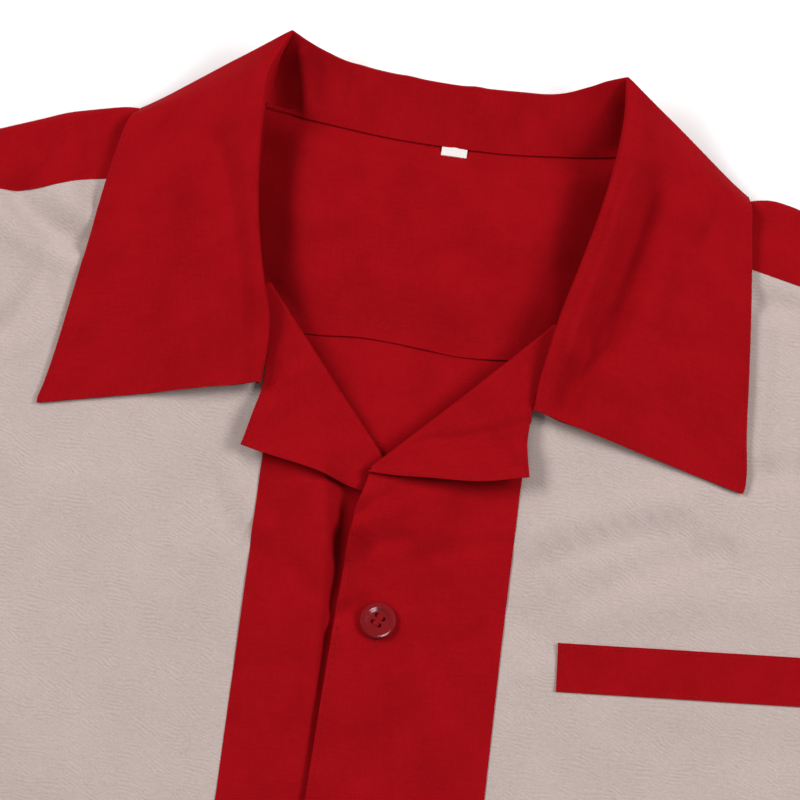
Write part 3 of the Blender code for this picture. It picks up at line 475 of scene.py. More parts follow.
# --- small pieces -------------------------------------------------------------------
WELT_CORNER = (73.1, -232.8)    # upper inner corner, on the left front
WELT_SIZE = (115.0, 19.4)
WELT_TILT = 4.7                 # degrees
WELT_WALL = 0.7
WELT_RISE = 0.62                # of its middle over the middle of the panel
TAB_SIZE = (10.6, 2.7)
TAB_X = 3.7
TAB_TOP_Y = -35.6
TAB_WALL = 0.16
TAB_FOLD = 0.3
TAB_GAP = 0.2                   # over the inner yoke
TAB_TUCK = 1.4                  # how far it runs under the collar's foot
TAB_SPRING = (0.35, 4.0)        # how much it springs up, and over what length
TAB_CURL = (0.12, 0.5)          # height of its middle, and radians per millimetre across
BUTTON_X = 1.0
BUTTON_TOP_Y = -234.5
BUTTON_PITCH = 90.0
BUTTON_COUNT = 5
BUTTON_GAP = 0.12               # between a button's underside and the cloth
BUTTON_SIDES = 72
BUTTON_HOLE_SIDES = 20
BUTTON_SHARP_EDGE = 38.0        # degrees
BUTTON_HOLES = 4
BUTTON_HOLE_RADIUS = 0.86
BUTTON_HOLE_PLACE = 2.15        # from the centre
BUTTON_CUT = 8.0                # length of the rods that cut the holes
BUTTON_THREAD = (0.36, 0.42)    # width and height of a sewn strand
STRAND_PITCH = 0.3
STRAND_LIFT = 0.1               # over the button's middle
STRAND_PAST = 0.5               # longer than from hole to hole
BUTTON_TURNS = (-25.0, 52.0, -9.0, 71.0, 33.0)   # degrees, a value for each button
# Turned profile of a button, from its foot over the rim to the middle (radius, height).
BUTTON_PROFILE = (
    (5.2, 0.0),
    (6.5, 0.12),
    (7.2, 0.6),
    (7.44, 1.15),
    (7.3, 1.5),
    (6.9, 1.86),
    (6.3, 2.14),
    (5.8, 2.22),
    (5.3, 2.18),
    (4.9, 2.02),
    (4.4, 1.72),
    (4.0, 1.48),
    (3.7, 1.36),
    (3.0, 1.3),
    (1.4, 1.28),
)
BUTTONHOLE = (17.0, 1.7)        # length and the distance between its two rows
BUTTONHOLE_SHIFT = -1.4         # of its middle from the button's
BUTTONHOLE_PITCH = 0.34         # of its stitches along the slit
BUTTONHOLE_BAR = 0.3            # and of those of its end bars
BUTTONHOLE_STITCH = (1.05, 0.3, 0.3)
BUTTONHOLE_SINK = 0.05

# Stitching: length, width and height of a stitch, and the gap to the next one.
STITCH = (2.1, 0.34, 0.26)
STITCH_GAP = 0.55
STITCH_SIDES = 6
STITCH_RINGS = ((-0.32, 0.86), (0.0, 1.0), (0.32, 0.86))    # place and size, shares of a stitch
STITCH_SINK = 0.06
EDGE_INSET = 1.3                # edge stitching from the edge
SEAM_INSET = 1.4                # stitching beside a seam
INNER_YOKE_ROW = 7.2            # stitched row above the inner yoke's hem
INNER_ROW_HALF = 196.0          # and half its length
FRONT_ROW_INSET = 1.7           # of the row beside the left front's edge
FRONT_ROW_Y = (-200.0, -733.0)  # its ends
HEM_ROW_END = 4.0               # from the side seam to the end of the hem's row
NECK_ROW_Y = -60.0              # the row above the neck seam ends here
ARM_ROW_INSET = 2.0             # of the row beside the armhole, on the sleeve
SHORT_EDGE_ROWS = 30            # rows of points along a leaf's short edge
LAPEL_ROW_START = 14            # columns of points of a lapel before its stitched row

# --- camera ---------------------------------------------------------------------------
CAMERA_TARGET = (-3.5, -143.0)
CAMERA_AZIMUTH = 8.3
CAMERA_ELEVATION = 77.0
CAMERA_DISTANCE = 1050.0
CAMERA_HALF_WIDTH = 163.0       # seen at the target
SENSOR = 36.0

# --- light ----------------------------------------------------------------------------
FLOOR_HALF = 3.0                # metres
STUDIO = (1.0, 0.99, 0.98, 1.0)
STUDIO_STRENGTH = 0.20
LAMP_AIM = (0.0, 0.2, 0.0)      # metres
# Lamps: name, place, width and height in metres, watts, and whether it lights the cloth
# or only glints on what is glossy.
LAMPS = (
    ("left_box", (-1.42, 0.60, 1.23), 1.2, 0.6, 28.9, True),
    ("right_box", (1.42, 0.60, 1.23), 1.2, 0.6, 28.9, True),
    ("front_glint", (0.75, -0.9, 1.5), 0.8, 0.8, 26.0, False),
)


# --- curves and blends ----------------------------------------------------------
def smooth(share):
    """Ease from 0 to 1 while share goes from 0 to 1."""
    share = np.clip(share, 0.0, 1.0)
    return share * share * (3.0 - 2.0 * share)


def ramp(value, limits):
    """Ease from 0 to 1 while value goes from the first limit to the second."""
    return smooth((value - limits[0]) / (limits[1] - limits[0]))


def mix(first, second, share):
    return first + (second - first) * share


def spline(rows, count):
    """Catmull-Rom curve through the rows, with count steps between two rows."""
    rows = np.asarray(rows, float)
    before = 2.0 * rows[:1] - rows[1:2]
    after = 2.0 * rows[-1:] - rows[-2:-1]
    knots = np.concatenate([before, rows, after])
    points = []
    for i in range(len(rows) - 1):
        a, b, c, d = knots[i:i + 4]
        for step in range(count):
            t = step / count
            points.append(0.5 * (2 * b + (c - a) * t + (2 * a - 5 * b + 4 * c - d) * t ** 2
                                 + (3 * b - a - 3 * c + d) * t ** 3))
    points.append(rows[-1])
    return np.array(points)


def straight(rows, count):
    """Straight runs through the rows, with count steps between two rows."""
    rows = np.asarray(rows, float)
    places = np.linspace(0.0, len(rows) - 1.0, (len(rows) - 1) * count + 1)
    columns = [np.interp(places, np.arange(len(rows)), rows[:, k]) for k in range(rows.shape[1])]
    return np.stack(columns, axis=1)


def along(rows, count):
    """Count + 1 points evenly spaced along the straight runs through the rows."""
    rows = np.asarray(rows, float)
    runs = np.linalg.norm(np.diff(rows[:, :2], axis=0), axis=1)
    reach = np.concatenate([[0.0], np.cumsum(runs)])
    places = np.linspace(0.0, reach[-1], count + 1)
    columns = [np.interp(places, reach, rows[:, k]) for k in range(rows.shape[1])]
    return np.stack(columns, axis=1)


def guarded(count):
    """Shares from 0 to 1 with a narrow step at each end."""
    inner = np.linspace(0.0, 1.0, count + 1)[1:-1]
    return np.concatenate([[0.0, GRID_GUARD], inner, [1.0 - GRID_GUARD, 1.0]])


def side_sign(side):
    return -1.0 if side == "right" else 1.0


def table_at(table, y, column):
    """A column at y of a table whose rows start with their y and go down the shirt."""
    rows = np.asarray(table)[::-1]
    return np.interp(y, rows[:, 0], rows[:, column])


def column_at(table, y, side):
    """The x of a seam or an edge at y, from a table of (y, right x, left x)."""
    return table_at(table, y, 1 if side == "right" else 2)


# --- height of the cloth -----------------------------------------------------------
def kept_over(height, least, ease):
    """The height, eased so that it stays over the least height."""
    return least + ease * np.logaddexp(0.0, (height - least) / ease)


def nearest_on_edge(x, y, edge):
    """Distance to the edge in plan, and the edge's height at the nearest point."""
    best = np.full(np.shape(x), np.inf)
    height = np.zeros(np.shape(x))
    for a, b in zip(edge[:-1], edge[1:]):
        run = (b[0] - a[0], b[1] - a[1])
        share = ((x - a[0]) * run[0] + (y - a[1]) * run[1]) / (run[0] ** 2 + run[1] ** 2)
        share = np.clip(share, 0.0, 1.0)
        away = np.hypot(x - a[0] - share * run[0], y - a[1] - share * run[1])
        closer = away < best
        height = np.where(closer, mix(a[2], b[2], share), height)
        best = np.where(closer, away, best)
    return best, height


def crease_height(x, y, creases):
    """Soft troughs and ridges along bent lines that fade at both ends."""
    total = np.zeros(np.shape(x))
    for x0, y0, x1, y1, bend, half_width, height in creases:
        run = (x1 - x0, y1 - y0)
        length = math.hypot(*run)
        share = ((x - x0) * run[0] + (y - y0) * run[1]) / length ** 2
        inside = np.clip(share, 0.0, 1.0)
        beside = ((y - y0) * run[0] - (x - x0) * run[1]) / length
        beside = beside - bend * 4.0 * inside * (1.0 - inside)
        away = np.hypot(beside, (share - inside) * length)
        total = total + height * np.exp(-(away / half_width) ** 2)
    return total


def uneven_height(x, y, layers, seed):
    """Soft random unevenness, a layer for each (pitch, height)."""
    size = 97
    turn = math.radians(27.0)
    across = x * math.cos(turn) + y * math.sin(turn)
    down = y * math.cos(turn) - x * math.sin(turn)
    total = np.zeros(np.shape(x))
    for k, (pitch, height) in enumerate(layers):
        lattice = np.random.default_rng(seed + k).uniform(-1.0, 1.0, (size, size))
        i, j = np.floor(across / pitch).astype(int), np.floor(down / pitch).astype(int)
        s, t = smooth(across / pitch - i), smooth(down / pitch - j)
        corner = [lattice[(i + a) % size, (j + b) % size] for b in (0, 1) for a in (0, 1)]
        total = total + height * mix(mix(corner[0], corner[1], s), mix(corner[2], corner[3], s), t)
    return total


def side_drop(x, y):
    """Share of its loft that the front keeps near the side seam."""
    down = np.clip((y - ARMHOLE[-1][1]) / (HEM_Y - ARMHOLE[-1][1]), 0.0, 1.0)
    half = mix(ARMHOLE[-1][0], HEM_HALF, down)
    kept = smooth((half - np.abs(x)) / SIDE_ROUND)
    return mix(1.0, kept, ramp(y, SIDE_ALONG))


def underlap_rise(x, y):
    """Rise of the right front beside the left front's edge, and its fall under that edge."""
    start, end, rise = (table_at(UNDERLAP, y, column) for column in (1, 2, 3))
    beside = np.exp(-(np.maximum(start - x, 0.0) / UNDERLAP_REACH) ** 2)
    share = np.clip((x - start) / (end - start), 0.0, None)
    depth = (rise + FRONT_LOFT - LEAST_LOFT) * ramp(rise, UNDERLAP_FALL)
    return rise * beside - depth * share ** 2 / (share + UNDERLAP_BEND)


def front_height(x, y, side):
    """Height of the middle of the front's cloth."""
    x, y = np.asarray(x, float), np.asarray(y, float)
    height = FRONT_LOFT + SHOULDER_RISE * ramp(y, RISE_ALONG)
    if side == "left":
        height = height + OVERLAP_LIFT * ramp(x, OVERLAP_ACROSS)
    else:
        height = height + underlap_rise(x, y)
    height = height + crease_height(x, y, FRONT_CREASES[side])
    height = height + uneven_height(x, y, UNEVEN, SEEDS[side])
    away, edge_height = nearest_on_edge(x, y, NECK_EDGE[side])
    height = mix(height, edge_height, np.exp(-(away / NECK_SPREAD) ** 2))
    return mix(SIDE_HEIGHT, kept_over(height, LEAST_LOFT, LEAST_LOFT_SOFT), side_drop(x, y))


def yoke_back_height(x, y):
    """Height of the outer yoke's back, which lies on the collar's fall near the neck."""
    over_fall = ramp(y, YOKE_LIFT_Y) * ramp(np.abs(x), YOKE_LIFT_X)
    return TABLE_LAYER + YOKE_COLLAR_LIFT * over_fall


def hem_height(distance):
    """The step of a turned hem and the dip of its stitching, by distance from the edge."""
    return (HEM_STEP * smooth((HEM_DEPTH + HEM_EASE / 2 - distance) / HEM_EASE)
            - HEM_STEP * np.exp(-((distance - HEM_DEPTH + HEM_STITCH) / HEM_DIP) ** 2))


# --- meshes ---------------------------------------------------------------------
def new_object(name, mesh, material):
    item = bpy.data.objects.new(name, mesh)
    mesh.materials.append(material)
    bpy.context.scene.collection.objects.link(item)
    return item


def to_metres(points):
    return (np.asarray(points, float).reshape(-1, 3) + (0.0, FRAME_Y, 0.0)) * MM


def grid_faces(rows, columns, ring):
    """Corner numbers of the faces of a grid; a ring closes on itself."""
    numbers = np.arange(rows * columns).reshape(rows, columns)
    nexts = np.roll(numbers, -1, axis=1) if ring else numbers[:, 1:]
    firsts = numbers if ring else numbers[:, :-1]
    return np.stack([firsts[:-1], nexts[:-1], nexts[1:], firsts[1:]], axis=-1).reshape(-1, 4)


def make_cloth(name, patches, material, wall=CLOTH, ring=False):
    """Sew patches of (points, places in the cut) into one sheet and give it its wall."""
    points, places, faces, start = [], [], [], 0
    for grid, cut in patches:
        rows, columns = grid.shape[:2]
        points.append(grid.reshape(-1, 3))
        places.append(cut.reshape(-1, 2))
        faces.append(grid_faces(rows, columns, ring) + start)
        start += rows * columns
    points, places = np.concatenate(points), np.concatenate(places)
    keys = np.round(points / SEWN).astype(np.int64)
    _, first, number = np.unique(keys, axis=0, return_index=True, return_inverse=True)
    faces = number.reshape(-1)[np.concatenate(faces)]
    mesh = bpy.data.meshes.new(name)
    mesh.from_pydata(to_metres(points[first]).tolist(), [], faces.tolist())
    grain = mesh.attributes.new("grain", "FLOAT_VECTOR", "POINT")
    spots = np.column_stack([places[first], np.zeros(len(first))])
    grain.data.foreach_set("vector", spots.astype(np.float32).ravel())
    shell = bmesh.new()
    shell.from_mesh(mesh)
    bmesh.ops.dissolve_degenerate(shell, edges=shell.edges, dist=SLIVER)
    bmesh.ops.recalc_face_normals(shell, faces=shell.faces)
    shell.to_mesh(mesh)
    shell.free()
    item = new_object(name, mesh, material)
    solidify = item.modifiers.new("wall", "SOLIDIFY")
    solidify.thickness = wall * MM
    solidify.offset = 0.0
    graph = bpy.context.evaluated_depsgraph_get()
    walled = bpy.data.meshes.new_from_object(item.evaluated_get(graph))
    item.modifiers.clear()
    item.data = walled
    bpy.data.meshes.remove(mesh)
    walled.name = name
    walled.shade_smooth()
    walled.set_sharp_from_angle(angle=math.radians(SHARP_EDGE))
    return item


def plan_grid(inner, outer, shares):
    """Rows from the inner edge to the outer edge, in plan (x, y)."""
    shares = np.asarray(shares)[None, :, None]
    return mix(np.asarray(inner, float)[:, None, :2], np.asarray(outer, float)[:, None, :2], shares)


def with_height(plan, height):
    """Points in plan (x, y) raised to the height."""
    return np.concatenate([plan, np.broadcast_to(height, plan.shape[:-1])[..., None]], axis=-1)


def raised(plan, surface, *settings):
    """Points in plan (x, y) raised to a surface, which is a function of x and y."""
    return with_height(plan, surface(plan[..., 0], plan[..., 1], *settings))


def arc_cut(grid):
    """Places in the cut by the distances along the grid's rows and columns."""
    across = np.linalg.norm(np.diff(grid, axis=1), axis=2).mean(axis=0)
    down = np.linalg.norm(np.diff(grid, axis=0), axis=2).mean(axis=1)
    u = np.concatenate([[0.0], np.cumsum(across)])
    v = np.concatenate([[0.0], np.cumsum(down)])
    return np.stack(np.meshgrid(u, v), axis=2)


# --- stitching ------------------------------------------------------------------------
def rice_template():
    """Points and faces of a stitch one unit long, wide and high."""
    sides = STITCH_SIDES
    points = [(-0.5, 0.0, 0.0)]
    for place, size in STITCH_RINGS:
        for i in range(sides):
            angle = 2.0 * math.pi * i / sides
            points.append((place, 0.5 * size * math.cos(angle), 0.5 * size * math.sin(angle)))
    points.append((0.5, 0.0, 0.0))
    faces = []
    for i in range(sides):
        j = (i + 1) % sides
        faces.append((0, 1 + j, 1 + i))
        faces.append((3 * sides + 1, 2 * sides + 1 + i, 2 * sides + 1 + j))
        for ring in (1, 1 + sides):
            faces.append((ring + i, ring + j, ring + sides + j))
            faces.append((ring + i, ring + sides + j, ring + sides + i))
    return np.array(points), np.array(faces)


def stitch_frames(path, normals):
    """Middle, direction and normal of each stitch along a path of points."""
    runs = np.linalg.norm(np.diff(path, axis=0), axis=1)
    reach = np.concatenate([[0.0], np.cumsum(runs)])
    length = STITCH[0]
    count = max(1, int(reach[-1] / (length + STITCH_GAP)))
    middles = (np.arange(count) + 0.5) * reach[-1] / count

    def at(values, places):
        return np.stack([np.interp(places, reach, values[:, k]) for k in range(3)], axis=1)

    start, end = at(path, middles - length / 2), at(path, middles + length / 2)
    run = end - start
    run = run / np.linalg.norm(run, axis=1)[:, None]
    return (start + end) / 2, run, at(normals, middles)


def stitch_mesh(name, frames, material, size=STITCH, sink=STITCH_SINK):
    """One mesh of all the stitches given as (middles, directions, normals)."""
    points, faces = rice_template()
    middles, runs, normals = (np.concatenate(part) for part in zip(*frames))
    normals = normals - runs * np.sum(normals * runs, axis=1)[:, None]
    normals = normals / np.linalg.norm(normals, axis=1)[:, None]
    sides = np.cross(normals, runs)
    middles = middles + normals * sink
    placed = (middles[:, None] + points[None, :, :1] * size[0] * runs[:, None]
              + points[None, :, 1:2] * size[1] * sides[:, None]
              + points[None, :, 2:] * size[2] * normals[:, None])
    numbers = faces[None] + (np.arange(len(middles)) * len(points))[:, None, None]
    mesh = bpy.data.meshes.new(name)
    mesh.from_pydata(to_metres(placed).tolist(), [], numbers.reshape(-1, 3).tolist())
    mesh.shade_smooth()
    return new_object(name, mesh, material)


def flat_row(rows, wall, surface, *settings, count=40):
    """A stitched row on a surface that lies flat, through rows of (x, y)."""
    path = raised(straight(rows, count)[:, :2], surface, *settings) + (0.0, 0.0, wall / 2)
    return stitch_frames(path, np.tile(UP, (len(path), 1)))


def grid_normals(grid, row, column):
    """Unit normals of a grid of points, upward at the given row and column."""
    down, across = np.gradient(grid, axis=0), np.gradient(grid, axis=1)
    normal = np.cross(across, down)
    normal = normal / np.maximum(np.linalg.norm(normal, axis=2)[..., None], 1e-9)
    return normal if normal[row, column, 2] >= 0.0 else -normal


def inset_row(lines, normals, inset, wall):
    """A stitched row at the given distance from the start of each line of points."""
    path, up = [], []
    for line, normal in zip(lines, normals):
        reach = np.concatenate([[0.0], np.cumsum(np.linalg.norm(np.diff(line, axis=0), axis=1))])
        path.append([np.interp(inset, reach, line[:, k]) for k in range(3)])
        up.append([np.interp(inset, reach, normal[:, k]) for k in range(3)])
    path, up = np.array(path), np.array(up)
    return stitch_frames(path + up * (wall / 2), up)


# --- materials --------------------------------------------------------------------------
WAVE = math.pi / 10.0       # scale of a wave texture whose bands are a unit apart


class Wire:
    """A socket of a finish that takes part in sums."""

    def __init__(self, finish, socket):
        self.finish, self.socket = finish, socket

    def _with(self, operation, first, second):
        return self.finish.node("ShaderNodeMath", {"operation": operation}, {0: first, 1: second})

    def __add__(self, other):
        return self._with("ADD", self, other)

    __radd__ = __add__

    def __sub__(self, other):
        return self._with("SUBTRACT", self, other)

    def __rsub__(self, other):
        return self._with("SUBTRACT", other, self)

    def __mul__(self, other):
        return self._with("MULTIPLY", self, other)

    __rmul__ = __mul__


class Finish:
    """A material with its nodes."""

    def __init__(self, name, roughness, **sockets):
        self.material = bpy.data.materials.new(name)
        self.material.use_nodes = True
        self.tree = self.material.node_tree
        self.shader = self.tree.nodes["Principled BSDF"]
        self.shader.inputs["Roughness"].default_value = roughness
        for socket, value in sockets.items():
            self.shader.inputs[socket.replace("_", " ")].default_value = value

    def node(self, kind, settings, sockets, output=0):
        """Add a node: its settings first, then the values or wires of its sockets."""
        node = self.tree.nodes.new(kind)
        for setting, value in settings.items():
            setattr(node, setting, value)
        for socket, value in sockets.items():
            self.put(node.inputs[socket], value)
        return Wire(self, node.outputs[output])

    def put(self, socket, value):
        if isinstance(value, Wire):
            self.tree.links.new(value.socket, socket)
        else:
            socket.default_value = value

    def feed(self, **sockets):
        for socket, value in sockets.items():
            self.put(self.shader.inputs[socket.replace("_", " ")], value)
        return self.material

    def grain(self, scale=(1.0, 1.0, 1.0), turn=0.0):
        """Place in the cut cloth in millimetres, turned by an angle and stretched by the scale."""
        place = self.node("ShaderNodeAttribute", {"attribute_name": "grain"}, {}, "Vector")
        if turn:
            place = self.node("ShaderNodeVectorRotate", {"rotation_type": "Z_AXIS"}, {
                "Vector": place, "Angle": turn})
        return self.node("ShaderNodeVectorMath", {"operation": "MULTIPLY"}, {0: place, 1: scale})

    def place(self):
        """Place on the finished piece in metres."""
        return self.node("ShaderNodeTexCoord", {}, {}, "Object")

    def noise(self, place, scale, detail=2.0, roughness=0.5, distortion=0.0):
        return self.node("ShaderNodeTexNoise", {}, {
            "Vector": place, "Scale": scale, "Detail": detail, "Roughness": roughness,
            "Distortion": distortion})

    def threads(self, place, bands, pitch, distortion):
        """Round ribs across the cloth, a pitch apart."""
        return self.node("ShaderNodeTexWave", {"wave_type": "BANDS", "bands_direction": bands}, {
            "Vector": place, "Scale": WAVE / pitch, "Distortion": distortion, "Detail": 1.0,
            "Detail Scale": 0.6})

    def blend(self, dark, light, share):
        """Mix of two colours (red, green, blue)."""
        return self.node("ShaderNodeMix", {"data_type": "RGBA"}, {
            0: share, 6: (*dark, 1.0), 7: (*light, 1.0)}, 2)

    def number_blend(self, first, second, share):
        """Mix of two numbers."""
        return self.node("ShaderNodeMix", {"data_type": "FLOAT"}, {0: share, 2: first, 3: second})

    def clamped(self, value):
        """A number kept between 0 and 1."""
        return self.node("ShaderNodeClamp", {}, {0: value})

    def bump(self, height, depth, strength):
        """Fine relief of a depth in millimetres."""
        return self.node("ShaderNodeBump", {}, {
            "Height": height, "Distance": depth * MM, "Strength": strength})


def plain_cotton(name, dark, light, cloud_scale):
    """Plain-weave cotton with uneven threads and soft changes of shade."""
    finish = Finish(name, 0.82, Specular_IOR_Level=0.06, Specular_Tint=(1.0, 0.2, 0.2, 1.0),
                    Sheen_Weight=0.03, Sheen_Tint=(1.0, 0.12, 0.12, 1.0))
    place = finish.grain()
    warp = finish.threads(place, "X", 0.42, 0.5)
    weft = finish.threads(place, "Y", 0.38, 0.7)
    slub_across = finish.noise(finish.grain((0.10, 1.9, 1.0)), 1.0, 2.0, 0.6)
    slub_down = finish.noise(finish.grain((2.1, 0.12, 1.0)), 1.0, 2.0, 0.6)
    cloud = finish.noise(place, cloud_scale, 3.0, 0.55)
    speckle = finish.noise(place, 0.9, 2.0, 0.6)
    share = cloud * 1.3 + slub_across * 1.0 + slub_down * 0.8 + speckle * 0.7 - 1.4
    share = share + (warp + weft) * 0.08 - 0.08
    shade = finish.blend(dark, light, share)
    height = warp * 0.5 + weft * 0.5 + slub_across * 0.8 + slub_down * 0.6
    normal = finish.bump(height, 0.05, 0.55)
    return finish.feed(Base_Color=shade, Normal=normal, Roughness=0.70 + cloud * 0.14)


def slub_cloth(name, dark, light):
    """Pale slubbed weave whose crosswise ripples slant and fade in patches."""
    finish = Finish(name, 0.85, Specular_IOR_Level=0.22, Sheen_Weight=0.10, Sheen_Roughness=0.5)
    place = finish.grain()
    wander = finish.noise(place, 0.035, 2.0, 0.5)
    patch = finish.clamped(finish.noise(place, 0.07, 1.0, 0.5) * 6.0 - 2.6)
    level = finish.threads(place, "Y", 1.6, 8.0)
    slanting = finish.threads(finish.grain(turn=0.5), "Y", 1.45, 7.0)
    fade = finish.clamped(finish.noise(place, 0.13, 2.0, 0.55) * 5.0 - 2.0)
    rows = (finish.number_blend(level, slanting, patch) - 0.5) * fade
    ripple = finish.noise(finish.grain((0.4, 1.9, 1.0), 0.12), 1.0, 2.0, 0.55, 1.4)
    slub_down = finish.noise(finish.grain((2.2, 0.2, 1.0)), 1.0, 2.0, 0.6)
    speck = finish.noise(place, 1.3, 2.0, 0.6)
    warp = finish.threads(place, "X", 0.46, 0.8)
    weft = finish.threads(place, "Y", 0.44, 1.4)
    share = rows * 0.42 + ripple * 1.5 + slub_down * 0.5 + speck * 0.75 + wander * 0.5 - 1.145
    share = share + (warp + weft) * 0.08 - 0.08
    shade = finish.blend(dark, light, share)
    height = rows + ripple * 1.6 + speck + warp * 0.35 + weft * 0.45 + slub_down * 0.6
    normal = finish.bump(height, 0.07, 0.6)
    return finish.feed(Base_Color=shade, Normal=normal, Roughness=0.78 + wander * 0.12)


def ribbed_tape(name):
    """White satin tape with fine ribs."""
    finish = Finish(name, 0.5, Specular_IOR_Level=0.4)
    place = finish.grain()
    rib = finish.threads(place, "X", 0.5, 0.2)
    speck = finish.noise(place, 2.0, 2.0, 0.5)
    shade = finish.blend((0.70, 0.66, 0.65), (0.86, 0.84, 0.83), rib * 0.5 + speck * 0.6)
    return finish.feed(Base_Color=shade, Normal=finish.bump(rib, 0.04, 0.5))


def sewing_thread(name, dark, light):
    """Twisted polyester thread."""
    finish = Finish(name, 0.7, Specular_IOR_Level=0.12)
    twist = finish.noise(finish.place(), 2600.0, 2.0, 0.6)
    shade = finish.blend(dark, light, twist)
    return finish.feed(Base_Color=shade, Normal=finish.bump(twist, 0.04, 0.4))


def moulded_button(name):
    """Glossy red plastic with faint swirls and fine scratches."""
    finish = Finish(name, 0.2, Specular_IOR_Level=0.45)
    place = finish.place()
    swirl = finish.noise(place, 180.0, 3.0, 0.55, 2.0)
    scratch = finish.noise(place, 1500.0, 3.0, 0.7)
    shade = finish.blend((0.15, 0.0025, 0.005), (0.26, 0.0045, 0.009), swirl)
    return finish.feed(Base_Color=shade, Roughness=0.12 + scratch * 0.16,
                       Normal=finish.bump(scratch, 0.02, 0.15))


def pale_floor(name):
    """Pale smooth table with the faintest mottling."""
    finish = Finish(name, 0.9, Specular_IOR_Level=0.1)
    cloud = finish.noise(finish.place(), 3.0, 2.0, 0.5)
    return finish.feed(Base_Color=finish.blend((0.93, 0.93, 0.93), (0.96, 0.96, 0.96), cloud))


RED = plain_cotton("red_cotton", (0.255, 0.0027, 0.0052), (0.345, 0.0044, 0.0082), 0.045)
BEIGE = slub_cloth("beige_slub", (0.424, 0.339, 0.314), (0.556, 0.453, 0.424))
TAPE = ribbed_tape("white_tape")
THREAD = sewing_thread("red_thread", (0.27, 0.003, 0.006), (0.42, 0.008, 0.013))
BEIGE_THREAD = sewing_thread("beige_thread", (0.40, 0.32, 0.29), (0.62, 0.52, 0.48))
PLASTIC = moulded_button("red_plastic")


def declare(item):
    """A cloth piece that stands for the solid of its own name."""
    node = item.name.replace("_cloth", "")
    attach(item, "root")
    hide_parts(node)


def carry(item):
    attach(item, "root")


# --- back ------------------------------------------------------------------------
def body_side(first_row, sign, arm_count, hem_rows, hem_count):
    """Edge of the body from a row of the armhole down the side seam to the hem."""
    arm = spline(np.array(ARMHOLE[first_row:]), arm_count)
    seam = along((ARMHOLE[-1], (HEM_HALF, HEM_Y)), hem_rows * hem_count)
    return np.concatenate([arm, seam[1:]]) * (sign, 1.0)


def make_back():
    sides = [body_side(YOKE_BACK_ROW, sign, arm_count=5, hem_rows=6, hem_count=10)
             for sign in (-1.0, 1.0)]
    plan = plan_grid(*sides, guarded(GRID_STEPS["back"]))
    x, y = plan[..., 0], plan[..., 1]
    height = TABLE_LAYER + hem_height(y - HEM_Y) * BACK_HEM_SHARE + BACK_RISE
    height = height + uneven_height(x, y, BACK_UNEVEN, SEEDS["back"])
    item = make_cloth("back_cloth", [(with_height(plan, height), plan)], RED)
    declare(item)


# --- yokes -----------------------------------------------------------------------
YOKE_ROWS = 26              # rows of points up the yoke's back
YOKE_NECK_STEPS = 8         # between two of the collar's sections
ARM_COLUMNS = 84
# Where the bulge of the inner yoke in the neck opening ends (y, right x, left x).
BULGE_EDGE = (
    (-30.0, -57.0, 58.5),
    (-50.0, -56.0, 49.5),
    (-66.0, -57.0, 47.5),
    (-80.0, -54.8, 50.0),
    (-93.0, -51.2, 53.5),
    (-122.0, -44.0, 55.0),
)
BULGE = 4.8
BULGE_SLOPE = 0.25
BULGE_BEND = 0.9            # rounding where the slope sets in
BULGE_BOTTOM = (-122.0, -92.0)
UNDER_FOOT = 0.9            # from the middle of the collar's foot down to the inner yoke's
FOOT_REACH = 13.0           # over which the inner yoke rises to the collar's foot
FOOT_SIDES = (90.0, 84.0)
# How far the inner yoke's hem lies off the back yoke seam (x, offset).
INNER_HEM = (
    (-210.0, 0.0),
    (-70.0, 0.2),
    (-43.0, 0.4),
    (-24.0, 1.9),
    (-10.0, 1.6),
    (4.0, 0.5),
    (17.0, -0.4),
    (30.0, 0.2),
    (42.0, 1.2),
    (70.0, 1.2),
    (210.0, 0.0),
)


# Creases of the inner yoke, as in FRONT_CREASES.
INNER_YOKE_CREASES = (
    (-2.0, -60.0, 4.0, -118.0, 1.0, 6.0, 0.35),
    (-34.0, -50.0, -30.0, -112.0, -2.0, 9.0, 0.5),
    (34.0, -56.0, 30.0, -116.0, 2.0, 8.0, 0.4),
    (-62.0, -44.0, -56.0, -100.0, 2.0, 7.0, 0.7),
    (60.0, -48.0, 52.0, -104.0, -2.0, 7.0, 0.6),
)
INNER_YOKE_RISE = 0.15      # keeps its unevenness off the outer yoke


def neck_chain():
    """All the collar's sections from the right notch round the back to the left one."""
    right = list(COLLAR["right"])
    left = list(COLLAR["left"])
    return np.array(right + [COLLAR_BACK] + left[::-1])


def back_neck(count, margin=NECK_MARGIN):
    """Neck edge of a yoke across the back, below the collar's foot."""
    chain = neck_chain()
    return spline(chain[SHOULDER_ROW:len(chain) - SHOULDER_ROW, :2], count) - (0.0, margin)


def yoke_centre():
    neck = back_neck(YOKE_NECK_STEPS)
    seam = np.stack([neck[:, 0], np.full(len(neck), YOKE_SEAM_Y)], axis=1)
    plan = np.stack([mix(seam, neck, i / YOKE_ROWS) for i in range(YOKE_ROWS + 1)])
    return raised(plan, yoke_back_height), plan


